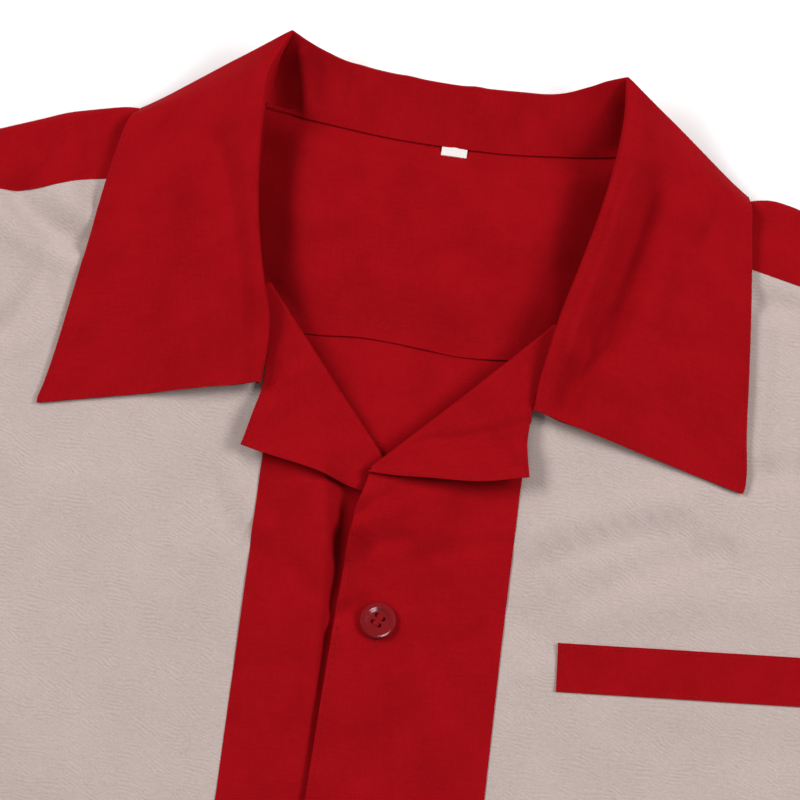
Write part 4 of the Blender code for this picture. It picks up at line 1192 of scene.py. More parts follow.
def yoke_arm(side, turn_steps=10, front_rows=26):
    """One side of the yoke: up the back, over the shoulder fold and down the front."""
    sign = side_sign(side)
    columns = ARM_COLUMNS
    neck = back_neck(YOKE_NECK_STEPS)[0 if side == "right" else -1]
    fold = along(spline(SHOULDER[side], 10), columns) * (sign, 1.0)
    neck_fold = NECK_EDGE[side][0]
    fold[0] = (neck_fold[0], SHOULDER[side][0][1])
    low_seam = along(((abs(neck[0]), YOKE_SEAM_Y), ARMHOLE[YOKE_BACK_ROW]), columns) * (sign, 1.0)
    front_neck = NECK_EDGE[side][1]
    front_seam = along(((abs(front_neck[0]), YOKE_FRONT_NECK[1]), ARMHOLE[YOKE_FRONT_ROW]), columns)
    front_seam = front_seam * (sign, 1.0)
    front_seam[:, 1] += yoke_sag(front_seam[:, 0])

    low = yoke_back_height(fold[:, 0], fold[:, 1])
    high = front_height(fold[:, 0], fold[:, 1], side)
    radius = (high - low) / 2.0
    down = np.array([0.0, -1.0])
    centre = fold + down * radius[:, None]
    rows, reach = [], []
    neck_row = centre.copy()
    neck_row[0] = neck
    for i in range(YOKE_ROWS):
        plan = mix(low_seam, neck_row, i / YOKE_ROWS)
        rows.append(raised(plan, yoke_back_height))
        reach.append(plan[:, 1])
    for i in range(turn_steps + 1):
        angle = math.pi * (i / turn_steps) - math.pi / 2
        plan = centre + np.outer(radius * math.cos(angle), (0.0, 1.0))
        if i == 0:
            plan[0] = neck
        height = (low + high) / 2.0 + radius * math.sin(angle)
        rows.append(np.column_stack([plan, height]))
        reach.append(fold[:, 1] + radius * math.pi * i / turn_steps)
    turned = reach[-1]
    for i in range(1, front_rows + 1):
        plan = mix(centre, front_seam, i / front_rows)
        rows.append(raised(plan, front_height, side))
        reach.append(turned + centre[:, 1] - plan[:, 1])
    grid = np.array(rows)
    return grid, np.stack([grid[..., 0], np.array(reach)], axis=2)


def make_yoke():
    item = make_cloth("yoke_cloth", [yoke_centre(), yoke_arm("right"), yoke_arm("left")], RED)
    declare(item)


def inner_hem(x):
    """The y of the inner yoke's hem, which lies a little crooked."""
    curve = spline(INNER_HEM, 8)
    return YOKE_SEAM_Y + np.interp(x, curve[:, 0], curve[:, 1])


def neck_bulge(x, y):
    """The cloth in the neck opening bulges and drops again towards the collar's sides."""
    right, left = column_at(BULGE_EDGE, y, "right"), column_at(BULGE_EDGE, y, "left")
    outside = np.abs(x) - np.abs(np.where(x < 0.0, right, left))
    drop = BULGE_SLOPE * kept_over(outside, 0.0, BULGE_BEND)
    return np.maximum(0.0, BULGE * ramp(y, BULGE_BOTTOM) - drop)


def inner_yoke_height(x, y):
    height = yoke_back_height(x, y) + CLOTH + LAYER_GAP
    height = height + YOKE_SLACK * ramp(np.abs(x), YOKE_SLACK_X) + neck_bulge(x, y)
    height = height + np.maximum(0.0, crease_height(x, y, INNER_YOKE_CREASES))
    height = height + INNER_YOKE_RISE
    height = height + uneven_height(x, y, INNER_YOKE_UNEVEN, SEEDS["yoke_inner"])
    chain = neck_chain()[SHOULDER_ROW:-SHOULDER_ROW]
    seam = np.interp(x, chain[:, 0], chain[:, 1]) - y
    foot = np.interp(x, chain[:, 0], chain[:, 2]) - UNDER_FOOT
    return mix(height, foot, ramp(seam, (FOOT_REACH, 0.0)) * ramp(np.abs(x), FOOT_SIDES))


def make_inner_yoke():
    """It lies on the outer yoke, between the neck seam, the shoulders and the yoke seam."""
    arms = spline(np.array(SHOULDER["left"])[1:], 4) - (0.0, INNER_YOKE_INSET)
    arms[-1, 0] -= INNER_YOKE_INSET
    neck = back_neck(12, -NECK_TUCK)
    top = np.concatenate([arms[::-1] * (-1.0, 1.0), neck, arms])
    bottom = top.copy()
    bottom[:, 1] = inner_hem(top[:, 0])
    plan = np.stack([mix(bottom, top, share) for share in guarded(GRID_STEPS["yoke_inner"])])
    item = make_cloth("yoke_inner_cloth", [(raised(plan, inner_yoke_height), plan)], RED)
    declare(item)


# --- fronts ----------------------------------------------------------------------
def roll_line(side, count):
    """Lapel roll line from the neck to the first button, as edge of the fold."""
    return along((NECK_EDGE[side][LAPEL_ROW], NECK_EDGE[side][-1]), count)


def away_from_neck(side):
    """Unit vector in plan from the roll line towards the lapel's corner."""
    line = roll_line(side, 1)
    run = (line[1] - line[0])[:2]
    run = run / np.linalg.norm(run)
    normal = np.array([run[1], -run[0]])
    return normal if normal[0] * side_sign(side) > 0 else -normal


def front_fold_edge(side, count):
    """The front's edge inside the lapel's fold."""
    line = roll_line(side, count)[:, :2]
    return line + away_from_neck(side) * (LAPEL_FOLD + CLOTH / 2 + LAPEL_CLEARANCE)


def seam_corner(side):
    """Where the panel seam meets the lapel's fold."""
    edge = front_fold_edge(side, 60)
    seam_x = column_at(PANEL_SEAM, edge[:, 1], side)
    inside = np.argmax((edge[:, 0] - seam_x) * side_sign(side) < 0)
    return edge[inside]


def panel_height(x, y, side):
    """Height of a side panel, which dips under its neighbours at the seams."""
    seam = column_at(PANEL_SEAM, y, side)
    inside = (x - seam) * side_sign(side)
    dip = SEAM_DIP * (1.0 - smooth((inside + SEAM_LAP) / SEAM_DIP_WIDTH))
    top = yoke_seam_at(x)
    dip = np.maximum(dip, SEAM_DIP * (1.0 - smooth((top + SEAM_LAP - y) / SEAM_DIP_WIDTH)))
    height = front_height(x, y, side) + uneven_height(x, y, BEIGE_UNEVEN, SEEDS["beige"])
    return height + hem_height(y - HEM_Y) - dip


def yoke_seam_at(x):
    """The y of the front yoke seam at x."""
    (neck_x, neck_y), (arm_x, arm_y) = YOKE_FRONT_NECK, ARMHOLE[YOKE_FRONT_ROW][:2]
    return mix(neck_y, arm_y, (np.abs(x) - neck_x) / (arm_x - neck_x)) + yoke_sag(x)


def yoke_sag(x):
    """How the front yoke seam of the right side curves off its straight run."""
    return sum(bend * np.exp(-((x - middle) / half_width) ** 2)
               for middle, half_width, bend in YOKE_SAG)


def make_front_side(side):
    sign = side_sign(side)
    arm_rows = len(ARMHOLE) - YOKE_FRONT_ROW - 1
    hem_rows, fine = 12, 11
    outer = body_side(YOKE_FRONT_ROW, sign, fine, hem_rows, fine)
    corner = seam_corner(side)
    neck = np.array(NECK_EDGE[side])[1:LAPEL_ROW, :2]
    fold_top = front_fold_edge(side, 20)[1]
    neckline = along(np.concatenate([neck, [fold_top], [corner]]), NECK_STEPS)
    start_y = corner[1] - PANEL_START
    down_y = np.concatenate([np.linspace(start_y, ARMHOLE[-1][1], arm_rows - NECK_STEPS),
                             np.linspace(ARMHOLE[-1][1], HEM_Y, hem_rows + 1)[1:]])
    seam = np.column_stack([column_at(PANEL_SEAM, down_y, side), down_y])
    inner = straight(np.concatenate([neckline, seam]), fine)
    under = ramp(inner[:, 1], (corner[1] + SEAM_LAP_START, start_y))
    inner[:, 0] -= sign * SEAM_LAP * under
    plan = plan_grid(inner, outer, guarded(GRID_STEPS["front_side"]))
    lap = SEAM_LAP * (1.0 - np.arange(len(plan)) / SEAM_LAP_ROWS).clip(0.0, 1.0)
    plan[..., 1] += lap[:, None]
    name = "front_side_" + side + "_cloth"
    item = make_cloth(name, [(raised(plan, panel_height, side), plan)], BEIGE)
    declare(item)


def centre_height(x, y, side):
    """Height of a centre panel, whose turned free edge stands a little proud."""
    edge = (x - column_at(FRONT_EDGE, y, side)) * side_sign(side)
    inset, half_width, rise = RIM
    rim = rise * np.exp(-((edge - inset) / half_width) ** 2) * ramp(y, RIM_START)
    return front_height(x, y, side) + hem_height(y - HEM_Y) + rim


def make_front_centre(side):
    sign = side_sign(side)
    corner = seam_corner(side)
    fold_rows, down_rows, fine = 6, 15, 11
    line = front_fold_edge(side, 60)
    start = int(np.argmax((line[:, 0] - corner[0]) * sign < -TOP_WIDTH))
    fold = along(line[start:], fold_rows)
    top_y = FRONT_EDGE[0][0]
    free_y = np.linspace(BUTTON_TOP_Y, HEM_Y, down_rows - 1)
    free_y = np.concatenate([[top_y, FRONT_EDGE[1][0]], free_y])
    free = np.column_stack([column_at(FRONT_EDGE, free_y, side), free_y])
    inner = straight(np.concatenate([fold, free]), fine)
    seam_y = np.linspace(corner[1] - TOP_DROP, top_y + TOP_DROP, fold_rows + 1)
    seam_y = np.concatenate([seam_y, free_y])
    seam_x = column_at(PANEL_SEAM, seam_y, side)
    seam_x[:HIDDEN_ROWS] -= sign * HIDDEN_GAP
    outer = straight(np.column_stack([seam_x, seam_y]), fine)
    plan = plan_grid(inner, outer, guarded(GRID_STEPS["front_centre"]))
    name = "front_centre_" + side + "_cloth"
    item = make_cloth(name, [(raised(plan, centre_height, side), plan)], RED, wall=FACED)
    declare(item)


# --- lapels --------------------------------------------------------------------------
def lapel_grid(side, turn_steps=8, fine=7):
    """Turned-back facing: round the front's edge at the roll line, then out to its edge."""
    out = away_from_neck(side)
    neck, button = roll_line(side, 1)
    table = np.array(LAPEL_EDGE[side])
    edge = np.concatenate([spline(table[:LAPEL_CORNER + 1], fine)[:-1],
                           spline(table[LAPEL_CORNER:], fine)])
    shares = np.linspace(LAPEL_FROM, LAPEL_TO, len(edge))[:, None]
    line = mix(neck, button, shares)
    centre = line[:, :2] + out * (LAPEL_FOLD + CLOTH / 2)
    base = front_height(centre[:, 0], centre[:, 1], side)
    columns = []
    for i in range(turn_steps):
        angle = math.radians(mix(LAPEL_FOLD_END, 90.0, i / turn_steps))
        plan = centre + out * LAPEL_FOLD * math.cos(angle)
        columns.append(np.column_stack([plan, base + LAPEL_FOLD * math.sin(angle)]))
    for share in np.delete(guarded(GRID_STEPS["lapel"]), 1):
        plan = mix(centre, edge[:, :2], share)
        lift = edge[:, 2] * smooth(share * LAPEL_RISE) / smooth(LAPEL_RISE)
        height = front_height(plan[:, 0], plan[:, 1], side) + LAPEL_FOLD + lift
        creases = crease_height(plan[:, 0], plan[:, 1], LAPEL_CREASES[side])
        creases = creases + uneven_height(plan[:, 0], plan[:, 1], LAPEL_UNEVEN, SEEDS["lapel"])
        height = height + creases * ramp(share, LAPEL_CREASE_START)
        columns.append(np.column_stack([plan, height]))
    return np.array(columns)


def make_lapel(side):
    grid = lapel_grid(side)
    name = "lapel_" + side + "_cloth"
    item = make_cloth(name, [(grid, arc_cut(grid))], RED, wall=LAPEL_WALL)
    declare(item)


# --- collar --------------------------------------------------------------------------
def inward_directions(chain):
    """Unit vectors in plan from the roll line towards the middle of the neck."""
    run = np.diff(chain[:, 3:5], axis=0)
    run = run / np.linalg.norm(run, axis=1)[:, None]
    run = np.concatenate([run[:1], run[:-1] + run[1:], run[-1:]])
    normal = np.column_stack([run[:, 1], -run[:, 0]])
    return normal / np.linalg.norm(normal, axis=1)[:, None]


def collar_section(row, inward, radius, from_peak):
    """One section of the collar, from the neck seam over the roll to the outer edge.

    From_peak counts the rows past the collar's peak, where the fall lies under the back.
    """
    neck, roll, edge = row[0:3], row[3:6], row[6:9]
    centre = roll[:2] - inward * (radius + COLLAR_WALL / 2)
    middle = roll[2] - ROLL_TOP
    slope = math.atan2(middle - neck[2], np.linalg.norm(roll[:2] - neck[:2]))
    start = max(0.0, ROLL_FIRST - math.degrees(slope))
    turn = math.radians(start)
    inner = np.array([*(centre + inward * radius * math.cos(turn)),
                      middle + radius * math.sin(turn)])
    out = np.append(-inward, 0.0) * np.interp(from_peak, *STAND_BOW)
    points = [mix(neck, inner, i / STAND_STEPS) + out * math.sin(math.pi * i / STAND_STEPS)
              for i in range(STAND_STEPS)]
    for angle in np.linspace(start, max(ROLL_LAST, start + LEAST_TURN), ROLL_POINTS):
        turn = math.radians(angle)
        plan = centre + inward * radius * math.cos(turn)
        points.append(np.array([*plan, middle + radius * math.sin(turn)]))
    top = middle + radius
    held_back = min(1.0, max(0.0, from_peak / TUCK_ROWS))
    for share, drop_front, drop_back, stand_out in spline(FALL, FALL_STEPS):
        plan = mix(centre, edge[:2], share)
        if from_peak > 0:
            drop = drop_back
            plan = plan - inward * stand_out * mix(1.0, held_back, min(1.0, share / NEAR_ROLL))
        else:
            drop = drop_front
            if from_peak == 0:
                plan = plan - inward * stand_out * PEAK_STAND_OUT * (1.0 - share) * share ** 2
        points.append(np.array([*plan, mix(top, edge[2], drop)]))
    return points


def shape_leaves(grid):
    """Creases, settled tips and rounded corners of the collar's two leaves."""
    x, y = grid[..., 0].copy(), grid[..., 1].copy()
    column = np.arange(grid.shape[1])[None, :]
    on_fall = ramp(column - STAND_STEPS - ROLL_POINTS, LEAF_START)
    over_front = ramp(y, LEAF_START_Y)
    weight = on_fall * over_front * (grid[..., 2] > LEAF_LEAST)
    grid[..., 2] += crease_height(x, y, LEAF_CREASES) * weight
    grid[..., 2] += uneven_height(x, y, LEAF_UNEVEN, SEEDS["leaf"]) * weight
    for row, beside in ((0, LEAF_TIP_ROWS), (-1, -1 - LEAF_TIP_ROWS)):
        tip = grid[row, -1].copy()
        away = np.hypot(x - tip[0], y - tip[1])
        inside = grid[row, -LEAF_TIP_COLUMNS] + (grid[beside, -1] - tip) * 0.5 - tip
        inside = inside[:2] / np.linalg.norm(inside[:2])
        near = np.exp(-(away / LEAF_TIP_ROUND[1]) ** 2) * LEAF_TIP_ROUND[0]
        grid[..., :2] += near[..., None] * inside
        grid[..., 2] -= LEAF_SETTLE[0] * np.exp(-(away / LEAF_SETTLE[1]) ** 2) * on_fall
    x, y = grid[..., 0], grid[..., 1]
    front = np.where(x < 0.0, front_height(x, y, "right"), front_height(x, y, "left"))
    clear = kept_over(grid[..., 2], front + LEAF_GAP, LEAF_GAP_SOFT)
    over = on_fall * over_front * (grid[..., 2] > FRONT_LEAST)
    grid[..., 2] = mix(grid[..., 2], clear, over)
    return grid


def shape_stand(grid):
    """Creases of the stand behind the neck and bumps of its top edge."""
    behind = grid[:, 0, 1] > BEHIND_NECK_Y
    columns = STAND_STEPS + ROLL_POINTS
    stand = grid[behind, :columns]
    up = np.linspace(0.0, 1.0, columns)
    weight = ramp(up, STAND_CREASE_START) * (1.0 - ramp(up, STAND_CREASE_END))
    for low_x, high_x, half_width, depth in STAND_CREASES:
        away = stand[..., 0] - mix(low_x, high_x, up)
        push = depth * np.exp(-(away / half_width) ** 2) * weight * STAND_CREASE_SLANT
        stand[..., 1] += push
        stand[..., 2] -= push
    weight = ramp(up, STAND_FOLD_START) * (1.0 - ramp(up, STAND_FOLD_END))
    stand[..., 2] += crease_height(stand[..., 0], stand[..., 1], STAND_FOLDS) * weight
    grid[behind, :columns] = stand
    column = np.arange(grid.shape[1])
    top = ramp(column, (STAND_STEPS / 2, STAND_STEPS))
    top = top * (1.0 - ramp(column - columns, BACK_EDGE_END))
    for bump_x, half_width, height in BACK_EDGE_BUMPS:
        near = np.exp(-((grid[..., 0] - bump_x) / half_width) ** 2)
        grid[..., 1] += height * near * top * (grid[..., 1] > BEHIND_NECK_Y)
    return grid


def collar_grid():
    chain = neck_chain()
    inward = inward_directions(chain)
    last = len(chain) - 1
    sections = []
    for i, row in enumerate(chain):
        from_notch = min(i, last - i)
        radius = mix(NOTCH_ROLL, ROLL, min(1.0, from_notch / NOTCH_ROWS))
        radius -= PEAK_SHARP[0] * math.exp(-((from_notch - SHOULDER_ROW) / PEAK_SHARP[1]) ** 2)
        sections.append(collar_section(row, inward[i], radius, from_notch - SHOULDER_ROW))
    sections = np.array(sections)
    right = spline(sections[:SHOULDER_ROW + 1], SECTION_STEPS)
    back = spline(sections[SHOULDER_ROW:last - SHOULDER_ROW + 1], SECTION_STEPS)
    left = spline(sections[last - SHOULDER_ROW:], SECTION_STEPS)
    grid = np.concatenate([right, back[1:-1], left])
    grid = shape_stand(shape_leaves(grid))
    grid[..., 2] = np.maximum(grid[..., 2], COLLAR_WALL / 2)
    return grid


def make_collar(grid):
    item = make_cloth("collar_cloth", [(grid, arc_cut(grid))], RED, wall=COLLAR_WALL)
    declare(item)


# --- sleeves -----------------------------------------------------------------------
# Creases of the sleeves' top layers, for the left sleeve and mirrored for the right.
SLEEVE_CREASES = (
    (236.0, -240.0, 330.0, -250.0, 8.0, 10.0, 1.6),
    (246.0, -262.0, 322.0, -300.0, -6.0, 8.0, -1.1),
    (228.0, -120.0, 300.0, -150.0, 6.0, 12.0, 1.3),
    (226.0, -170.0, 350.0, -216.0, -8.0, 12.0, 1.2),
    (262.0, -206.0, 356.0, -246.0, 6.0, 8.0, -0.9),
    (300.0, -150.0, 392.0, -196.0, 5.0, 12.0, 1.0),
)


def turn_round(centre, outward, radius, low, steps):
    """Points round a fold, from its top layer to its bottom layer, without the ends."""
    points = []
    for i in range(1, steps):
        angle = math.pi / 2 - math.pi * i / steps
        plan = centre + outward * radius * math.cos(angle)
        points.append((*plan, low + radius + radius * math.sin(angle)))
    return points


def sleeve_top(arm, share):
    """Middle line of the sleeve at a share of its length, from overarm to underarm."""
    cuff = along((SLEEVE_OVERARM, SLEEVE_UNDERARM), len(arm) - 1)
    return mix(arm, cuff, share)


def sleeve_grid(side, turn_steps=10):
    """Flattened tube from the armhole to the cuff."""
    sign = side_sign(side)
    arm = spline(np.array(ARMHOLE), 8)
    arm_height = front_height(arm[:, 0] * sign, arm[:, 1], side)
    arm_height = np.maximum(arm_height, ARM_HEIGHT) + ARM_LAP_LIFT
    length = np.linalg.norm(np.mean(sleeve_top(arm, 1.0) - arm, axis=0))
    grid = []
    for share in guarded(GRID_STEPS["sleeve"]):
        line = sleeve_top(arm, share)
        high = mix(arm_height, CUFF_HEIGHT, smooth(share))
        low = np.full(len(line), TABLE_LAYER)
        radius = (high - low) / 2.0
        across = line[0] - line[-1]
        across = across / np.linalg.norm(across)
        ends = line.copy()
        ends[0] -= across * radius[0]
        ends[-1] += across * radius[-1]
        lap = ends - (ARM_LAP * (1.0 - smooth(share * ARM_LAP_REACH)), 0.0)
        inside = np.sin(np.linspace(0.0, np.pi, len(line))) ** 0.5
        hem = hem_height((1.0 - share) * length)
        top = high + crease_height(line[:, 0], line[:, 1], SLEEVE_CREASES) * inside
        top = top + uneven_height(line[:, 0] * sign, line[:, 1], UNEVEN, SEEDS["sleeve"]) * inside
        ring = [(*p, h) for p, h in zip(lap, top + hem)]
        ring += turn_round(ends[-1], -across, radius[-1], low[-1], turn_steps)
        ring += [(*p, h) for p, h in zip(ends[::-1], low)]
        ring += turn_round(ends[0], across, radius[0], low[0], turn_steps)[::-1]
        grid.append([(x * sign, y, z) for x, y, z in ring])
    return np.array(grid), len(arm)


def make_sleeve(side):
    grid, _ = sleeve_grid(side)
    item = make_cloth("sleeve_" + side + "_cloth", [(grid, arc_cut(grid))], RED, ring=True)
    declare(item)


# --- welt and tab ----------------------------------------------------------------------
def welt_plan(rows, columns):
    tilt = math.radians(WELT_TILT)
    run = np.array([math.cos(tilt), math.sin(tilt)])
    down = np.array([math.sin(tilt), -math.cos(tilt)])
    along_it = np.asarray(columns)[None, :, None] * WELT_SIZE[0] * run
    across_it = np.asarray(rows)[:, None, None] * WELT_SIZE[1] * down
    return np.array(WELT_CORNER) + along_it + across_it


def welt_height(x, y):
    panel = front_height(x, y, "left") + uneven_height(x, y, BEIGE_UNEVEN, SEEDS["beige"])
    return panel + WELT_RISE


def make_welt():
    rows, columns = guarded(GRID_STEPS["welt_down"]), guarded(GRID_STEPS["welt_across"])
    plan = welt_plan(rows, columns)
    cut = np.stack(np.broadcast_arrays(columns[None, :] * WELT_SIZE[0],
                                       rows[:, None] * WELT_SIZE[1]), axis=2)
    item = make_cloth("pocket_welt_cloth", [(raised(plan, welt_height), cut)], RED, wall=WELT_WALL)
    declare(item)


def tab_spring(y):
    """How far the folded tape springs up from the neck seam at y."""
    return TAB_SPRING[0] * smooth((TAB_TOP_Y - y) / TAB_SPRING[1])


def make_tab():
    """A folded tape: down from the neck seam, round its fold and back underneath."""
    x = TAB_X + TAB_SIZE[0] * np.linspace(-0.5, 0.5, 13)
    low_y = TAB_TOP_Y - TAB_SIZE[1] + TAB_FOLD
    base = inner_yoke_height(np.array(TAB_X), np.array(TAB_TOP_Y)) + CLOTH / 2 + TAB_GAP
    curl = TAB_CURL[0] * np.cos((x - TAB_X) * TAB_CURL[1])
    section = [(y, 2.0 * TAB_FOLD + tab_spring(y))
               for y in np.linspace(TAB_TOP_Y + TAB_TUCK, low_y, 9)]
    for i in range(1, 8):
        angle = math.pi / 2 + math.pi * i / 8
        section.append((low_y + TAB_FOLD * math.cos(angle),
                        TAB_SPRING[0] + TAB_FOLD + TAB_FOLD * math.sin(angle)))
    section += [(y, tab_spring(y)) for y in np.linspace(low_y, TAB_TOP_Y, 6)]
    grid = np.array([[(px, y, base + z + lift) for px, lift in zip(x, curl)] for y, z in section])
    item = make_cloth("size_tab_cloth", [(grid, arc_cut(grid))], TAPE, wall=TAB_WALL)
    declare(item)


# --- buttons --------------------------------------------------------------------------
def button_mesh():
    """Turned button with a raised rim and a dished face."""
    body = bmesh.new()
    rings = []
    for radius, height in BUTTON_PROFILE:
        turn = [2.0 * math.pi * i / BUTTON_SIDES for i in range(BUTTON_SIDES)]
        rings.append([body.verts.new((radius * math.cos(a) * MM, radius * math.sin(a) * MM,
                                      height * MM)) for a in turn])
    body.faces.new(rings[0][::-1])
    for low, high in zip(rings[:-1], rings[1:]):
        for i in range(BUTTON_SIDES):
            j = (i + 1) % BUTTON_SIDES
            body.faces.new((low[i], low[j], high[j], high[i]))
    body.faces.new(rings[-1])
    mesh = bpy.data.meshes.new("button")
    body.to_mesh(mesh)
    body.free()
    return mesh


def hole_places():
    """Plan of the four holes from the button's middle."""
    angles = [2.0 * math.pi * (i + 0.5) / BUTTON_HOLES for i in range(BUTTON_HOLES)]
    return [(BUTTON_HOLE_PLACE * math.cos(a), BUTTON_HOLE_PLACE * math.sin(a)) for a in angles]


def drilled_button():
    """The button's mesh with its holes cut."""
    rods = bmesh.new()
    for x, y in hole_places():
        radius = BUTTON_HOLE_RADIUS * MM
        made = bmesh.ops.create_cone(rods, cap_ends=True, segments=BUTTON_HOLE_SIDES,
                                     depth=BUTTON_CUT * MM, radius1=radius, radius2=radius)
        bmesh.ops.translate(rods, verts=made["verts"], vec=(x * MM, y * MM, 0.0))
    mesh = bpy.data.meshes.new("hole_cutter")
    rods.to_mesh(mesh)
    rods.free()
    cutter = bpy.data.objects.new("hole_cutter", mesh)
    blank = bpy.data.objects.new("blank", button_mesh())
    for item in (cutter, blank):
        bpy.context.scene.collection.objects.link(item)
    cut = blank.modifiers.new("holes", "BOOLEAN")
    cut.object = cutter
    cut.operation = "DIFFERENCE"
    bpy.context.view_layer.update()
    graph = bpy.context.evaluated_depsgraph_get()
    drilled = bpy.data.meshes.new_from_object(blank.evaluated_get(graph))
    for item in (blank, cutter):
        bpy.data.objects.remove(item, do_unlink=True)
    drilled.shade_smooth()
    drilled.set_sharp_from_angle(angle=math.radians(BUTTON_SHARP_EDGE))
    drilled.materials.clear()
    drilled.materials.append(PLASTIC)
    return drilled


def button_places():
    """Place of each button, whose underside is just over the cloth (x, y, z)."""
    angle = np.linspace(0.0, 2.0 * math.pi, 25)
    reach = np.linspace(0.0, BUTTON_PROFILE[2][0], 6)[:, None]
    places = []
    for i in range(BUTTON_COUNT):
        y = BUTTON_TOP_Y - i * BUTTON_PITCH
        under = centre_height(BUTTON_X + reach * np.cos(angle), y + reach * np.sin(angle), "left")
        places.append((BUTTON_X, y, under.max() + FACED / 2 + BUTTON_GAP))
    return places


def make_buttons():
    drilled = drilled_button()
    threads = []
    for number, ((x, y, seat), turn) in enumerate(zip(button_places(), BUTTON_TURNS), 1):
        button = bpy.data.objects.new("button_%d_turned" % number, drilled.copy())
        bpy.context.scene.collection.objects.link(button)
        button.location = (x * MM, (y + FRAME_Y) * MM, seat * MM)
        button.rotation_euler = (0.0, 0.0, math.radians(turn))
        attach(button, "root")
        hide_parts("button_%d" % number)
        threads.append(sewn_on(x, y, seat, math.radians(turn)))
    size = (2.0 * BUTTON_HOLE_PLACE * math.cos(math.pi / 4) + STRAND_PAST, *BUTTON_THREAD)
    item = stitch_mesh("button_threads", threads, THREAD, size=size, sink=0.0)
    carry(item)


def sewn_on(x, y, seat, turn):
    """Threads that cross a button between its holes, three strands to a pair."""
    run = np.array([math.cos(turn), math.sin(turn), 0.0])
    side = np.array([-math.sin(turn), math.cos(turn), 0.0])
    reach = BUTTON_HOLE_PLACE * math.cos(math.pi / 4)
    top = seat + BUTTON_PROFILE[-1][1] + STRAND_LIFT
    middles = [np.array([x, y, top]) + side * (pair * reach + strand * STRAND_PITCH)
               for pair in (-1.0, 1.0) for strand in (-1.0, 0.0, 1.0)]
    count = len(middles)
    return np.array(middles), np.tile(run, (count, 1)), np.tile(UP, (count, 1))


def make_buttonholes():
    """Two tight rows of cross stitches a little apart, with a bar at each end."""
    length, between = BUTTONHOLE
    frames = []
    for x, y, _ in button_places():
        middle = y + BUTTONHOLE_SHIFT
        places = np.arange(middle - length / 2, middle + length / 2, BUTTONHOLE_PITCH)
        spots = [(x + sign * between / 4, place) for place in places for sign in (-1.0, 1.0)]
        spots += [(x, middle + end * length / 2 + k * BUTTONHOLE_BAR)
                  for end in (-1.0, 1.0) for k in (-1, 0, 1)]
        tops = raised(np.array(spots), centre_height, "left") + (0.0, 0.0, FACED / 2)
        frames.append((tops, np.tile((1.0, 0.0, 0.0), (len(tops), 1)), np.tile(UP, (len(tops), 1))))
    item = stitch_mesh("buttonholes", frames, THREAD, BUTTONHOLE_STITCH, BUTTONHOLE_SINK)
    carry(item)


# --- stitched rows --------------------------------------------------------------------
def stitch_collar(grid):
    """Edge stitching round both leaves and the row above the neck seam."""
    normals = grid_normals(grid, 20, -20)
    number = np.arange(len(grid))
    over_front = grid[:, -1, 2] > FRONT_LEAST
    frames = []
    for half in (number < len(grid) // 2, number > len(grid) // 2):
        lines, up = (values[over_front & half][:, ::-1] for values in (grid, normals))
        frames.append(inset_row(lines, up, EDGE_INSET, COLLAR_WALL))
    first = STAND_STEPS + ROLL_POINTS + 2
    for end in (slice(None), slice(None, None, -1)):
        lines, up = (values[end][:SHORT_EDGE_ROWS, first:].transpose(1, 0, 2)
                     for values in (grid, normals))
        frames.append(inset_row(lines, up, EDGE_INSET, COLLAR_WALL))
    seam = grid[:, 0, 1] > NECK_ROW_Y
    frames.append(inset_row(grid[seam], -normals[seam], SEAM_INSET, COLLAR_WALL))
    carry(stitch_mesh("stitching_collar", frames, THREAD))


def stitch_lapels():
    frames = []
    for side in ("right", "left"):
        grid = lapel_grid(side)
        lines, up = (values[::-1].transpose(1, 0, 2)[LAPEL_ROW_START:]
                     for values in (grid, grid_normals(grid, 30, 30)))
        frames.append(inset_row(lines, up, EDGE_INSET, LAPEL_WALL))
    carry(stitch_mesh("stitching_lapels", frames, THREAD))


def stitch_body():
    """Hems, the left front's edge, the welt and the inner yoke's row."""
    red, beige = [], []
    hem_y = HEM_Y + HEM_DEPTH - HEM_STITCH
    for side in ("right", "left"):
        sign = side_sign(side)
        seam_x, edge_x = column_at(PANEL_SEAM, hem_y, side), column_at(FRONT_EDGE, hem_y, side)
        row = ((seam_x + sign, hem_y), (sign * (HEM_HALF - HEM_ROW_END), hem_y))
        beige.append(flat_row(row, CLOTH, panel_height, side))
        row = ((edge_x + sign, hem_y), (seam_x - sign, hem_y))
        red.append(flat_row(row, FACED, centre_height, side))
    row = [(column_at(FRONT_EDGE, y, "left") + FRONT_ROW_INSET, y)
           for y in np.linspace(*FRONT_ROW_Y, 12)]
    red.append(flat_row(row, FACED, centre_height, "left"))
    top, inner = EDGE_INSET / WELT_SIZE[1], EDGE_INSET / WELT_SIZE[0]
    loop = ((top, inner), (top, 1.0 - inner), (1.0 - top, 1.0 - inner), (1.0 - top, inner),
            (top, inner))
    corners = [welt_plan([row], [column])[0, 0] for row, column in loop]
    red.append(flat_row(corners, WELT_WALL, welt_height))
    row = [(x, inner_hem(x) + INNER_YOKE_ROW)
           for x in np.linspace(-INNER_ROW_HALF, INNER_ROW_HALF, 80)]
    red.append(flat_row(row, CLOTH, inner_yoke_height, count=4))
    carry(stitch_mesh("stitching_body", red, THREAD))
    carry(stitch_mesh("stitching_hem", beige, BEIGE_THREAD))


def stitch_sleeves():
    """The cuff's hem and the row beside the armhole, on the top layers."""
    frames = []
    for side in ("right", "left"):
        grid, width = sleeve_grid(side)
        lines, up = (values[:, :width].transpose(1, 0, 2)
                     for values in (grid, grid_normals(grid, 40, width // 2)))
        frames.append(inset_row(lines[:, ::-1], up[:, ::-1], HEM_DEPTH - HEM_STITCH, CLOTH))
        frames.append(inset_row(lines, up, ARM_ROW_INSET, CLOTH))
    carry(stitch_mesh("stitching_sleeves", frames, THREAD))


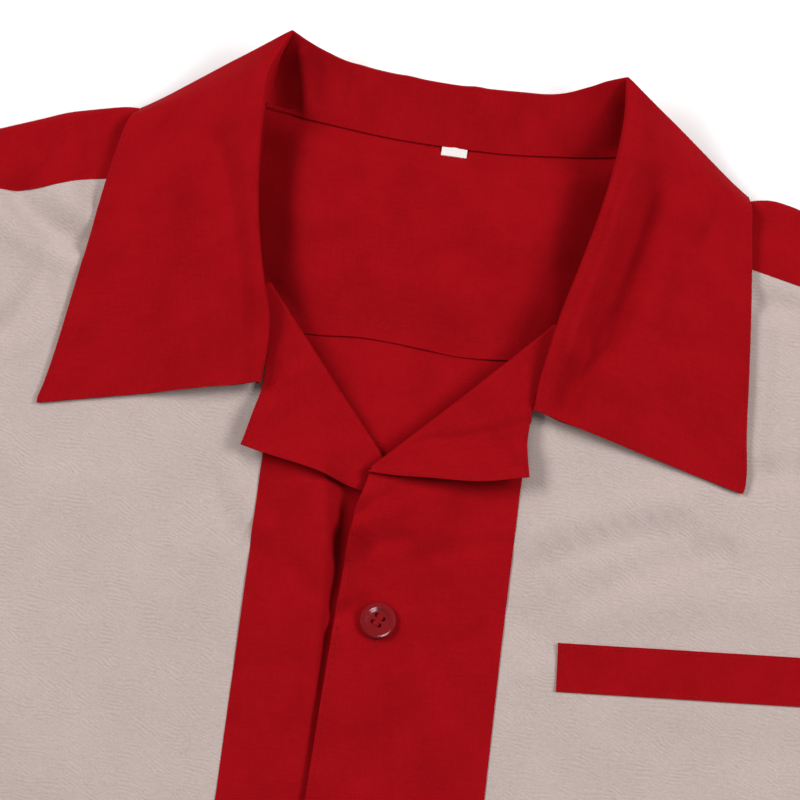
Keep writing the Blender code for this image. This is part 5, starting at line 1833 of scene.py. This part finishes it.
# --- room -------------------------------------------------------------------------------
def make_room():
    """Pale floor and soft studio light."""
    side = FLOOR_HALF
    floor = bpy.data.meshes.new("floor")
    floor.from_pydata([(-side, -side, 0.0), (side, -side, 0.0), (side, side, 0.0),
                       (-side, side, 0.0)], [], [(0, 1, 2, 3)])
    new_object("floor", floor, pale_floor("pale_floor"))
    world = bpy.data.worlds.new("studio")
    world.use_nodes = True
    sky = world.node_tree.nodes["Background"].inputs
    sky["Color"].default_value, sky["Strength"].default_value = STUDIO, STUDIO_STRENGTH
    bpy.context.scene.world = world
    for name, place, wide, high, watts, diffuse in LAMPS:
        lamp = bpy.data.lights.new(name, "AREA")
        lamp.shape = "RECTANGLE"
        lamp.size, lamp.size_y, lamp.energy = wide, high, watts
        item = bpy.data.objects.new(name, lamp)
        item.visible_diffuse = diffuse
        item.visible_glossy = not diffuse
        item.location = place
        aim = np.array(LAMP_AIM) - place
        yaw = math.atan2(aim[1], aim[0]) - math.pi / 2
        tilt = math.pi / 2 + math.atan2(aim[2], math.hypot(aim[0], aim[1]))
        item.rotation_euler = (tilt, 0.0, yaw)
        bpy.context.scene.collection.objects.link(item)
    bpy.context.scene.view_settings.view_transform = "Standard"


def make_camera():
    azimuth, elevation = math.radians(CAMERA_AZIMUTH), math.radians(CAMERA_ELEVATION)
    back = np.array([math.sin(azimuth) * math.cos(elevation),
                     -math.cos(azimuth) * math.cos(elevation), math.sin(elevation)])
    target = np.array([CAMERA_TARGET[0], CAMERA_TARGET[1] + FRAME_Y, 0.0])
    lens = bpy.data.cameras.new("camera")
    lens.sensor_width = SENSOR
    lens.lens = SENSOR / 2 * CAMERA_DISTANCE / CAMERA_HALF_WIDTH
    lens.clip_start, lens.clip_end = 0.05, 20.0
    camera = bpy.data.objects.new("camera", lens)
    camera.location = (target + back * CAMERA_DISTANCE) * MM
    camera.rotation_euler = (math.pi / 2 - elevation, 0.0, azimuth)
    bpy.context.scene.collection.objects.link(camera)
    bpy.context.scene.camera = camera


def main():
    make_camera()
    make_room()
    make_back()
    make_yoke()
    make_inner_yoke()
    for side in ("right", "left"):
        make_front_side(side)
        make_front_centre(side)
        make_lapel(side)
        make_sleeve(side)
    leaves = collar_grid()
    make_collar(leaves)
    make_welt()
    make_tab()
    make_buttons()
    make_buttonholes()
    stitch_collar(leaves)
    stitch_lapels()
    stitch_body()
    stitch_sleeves()


main()
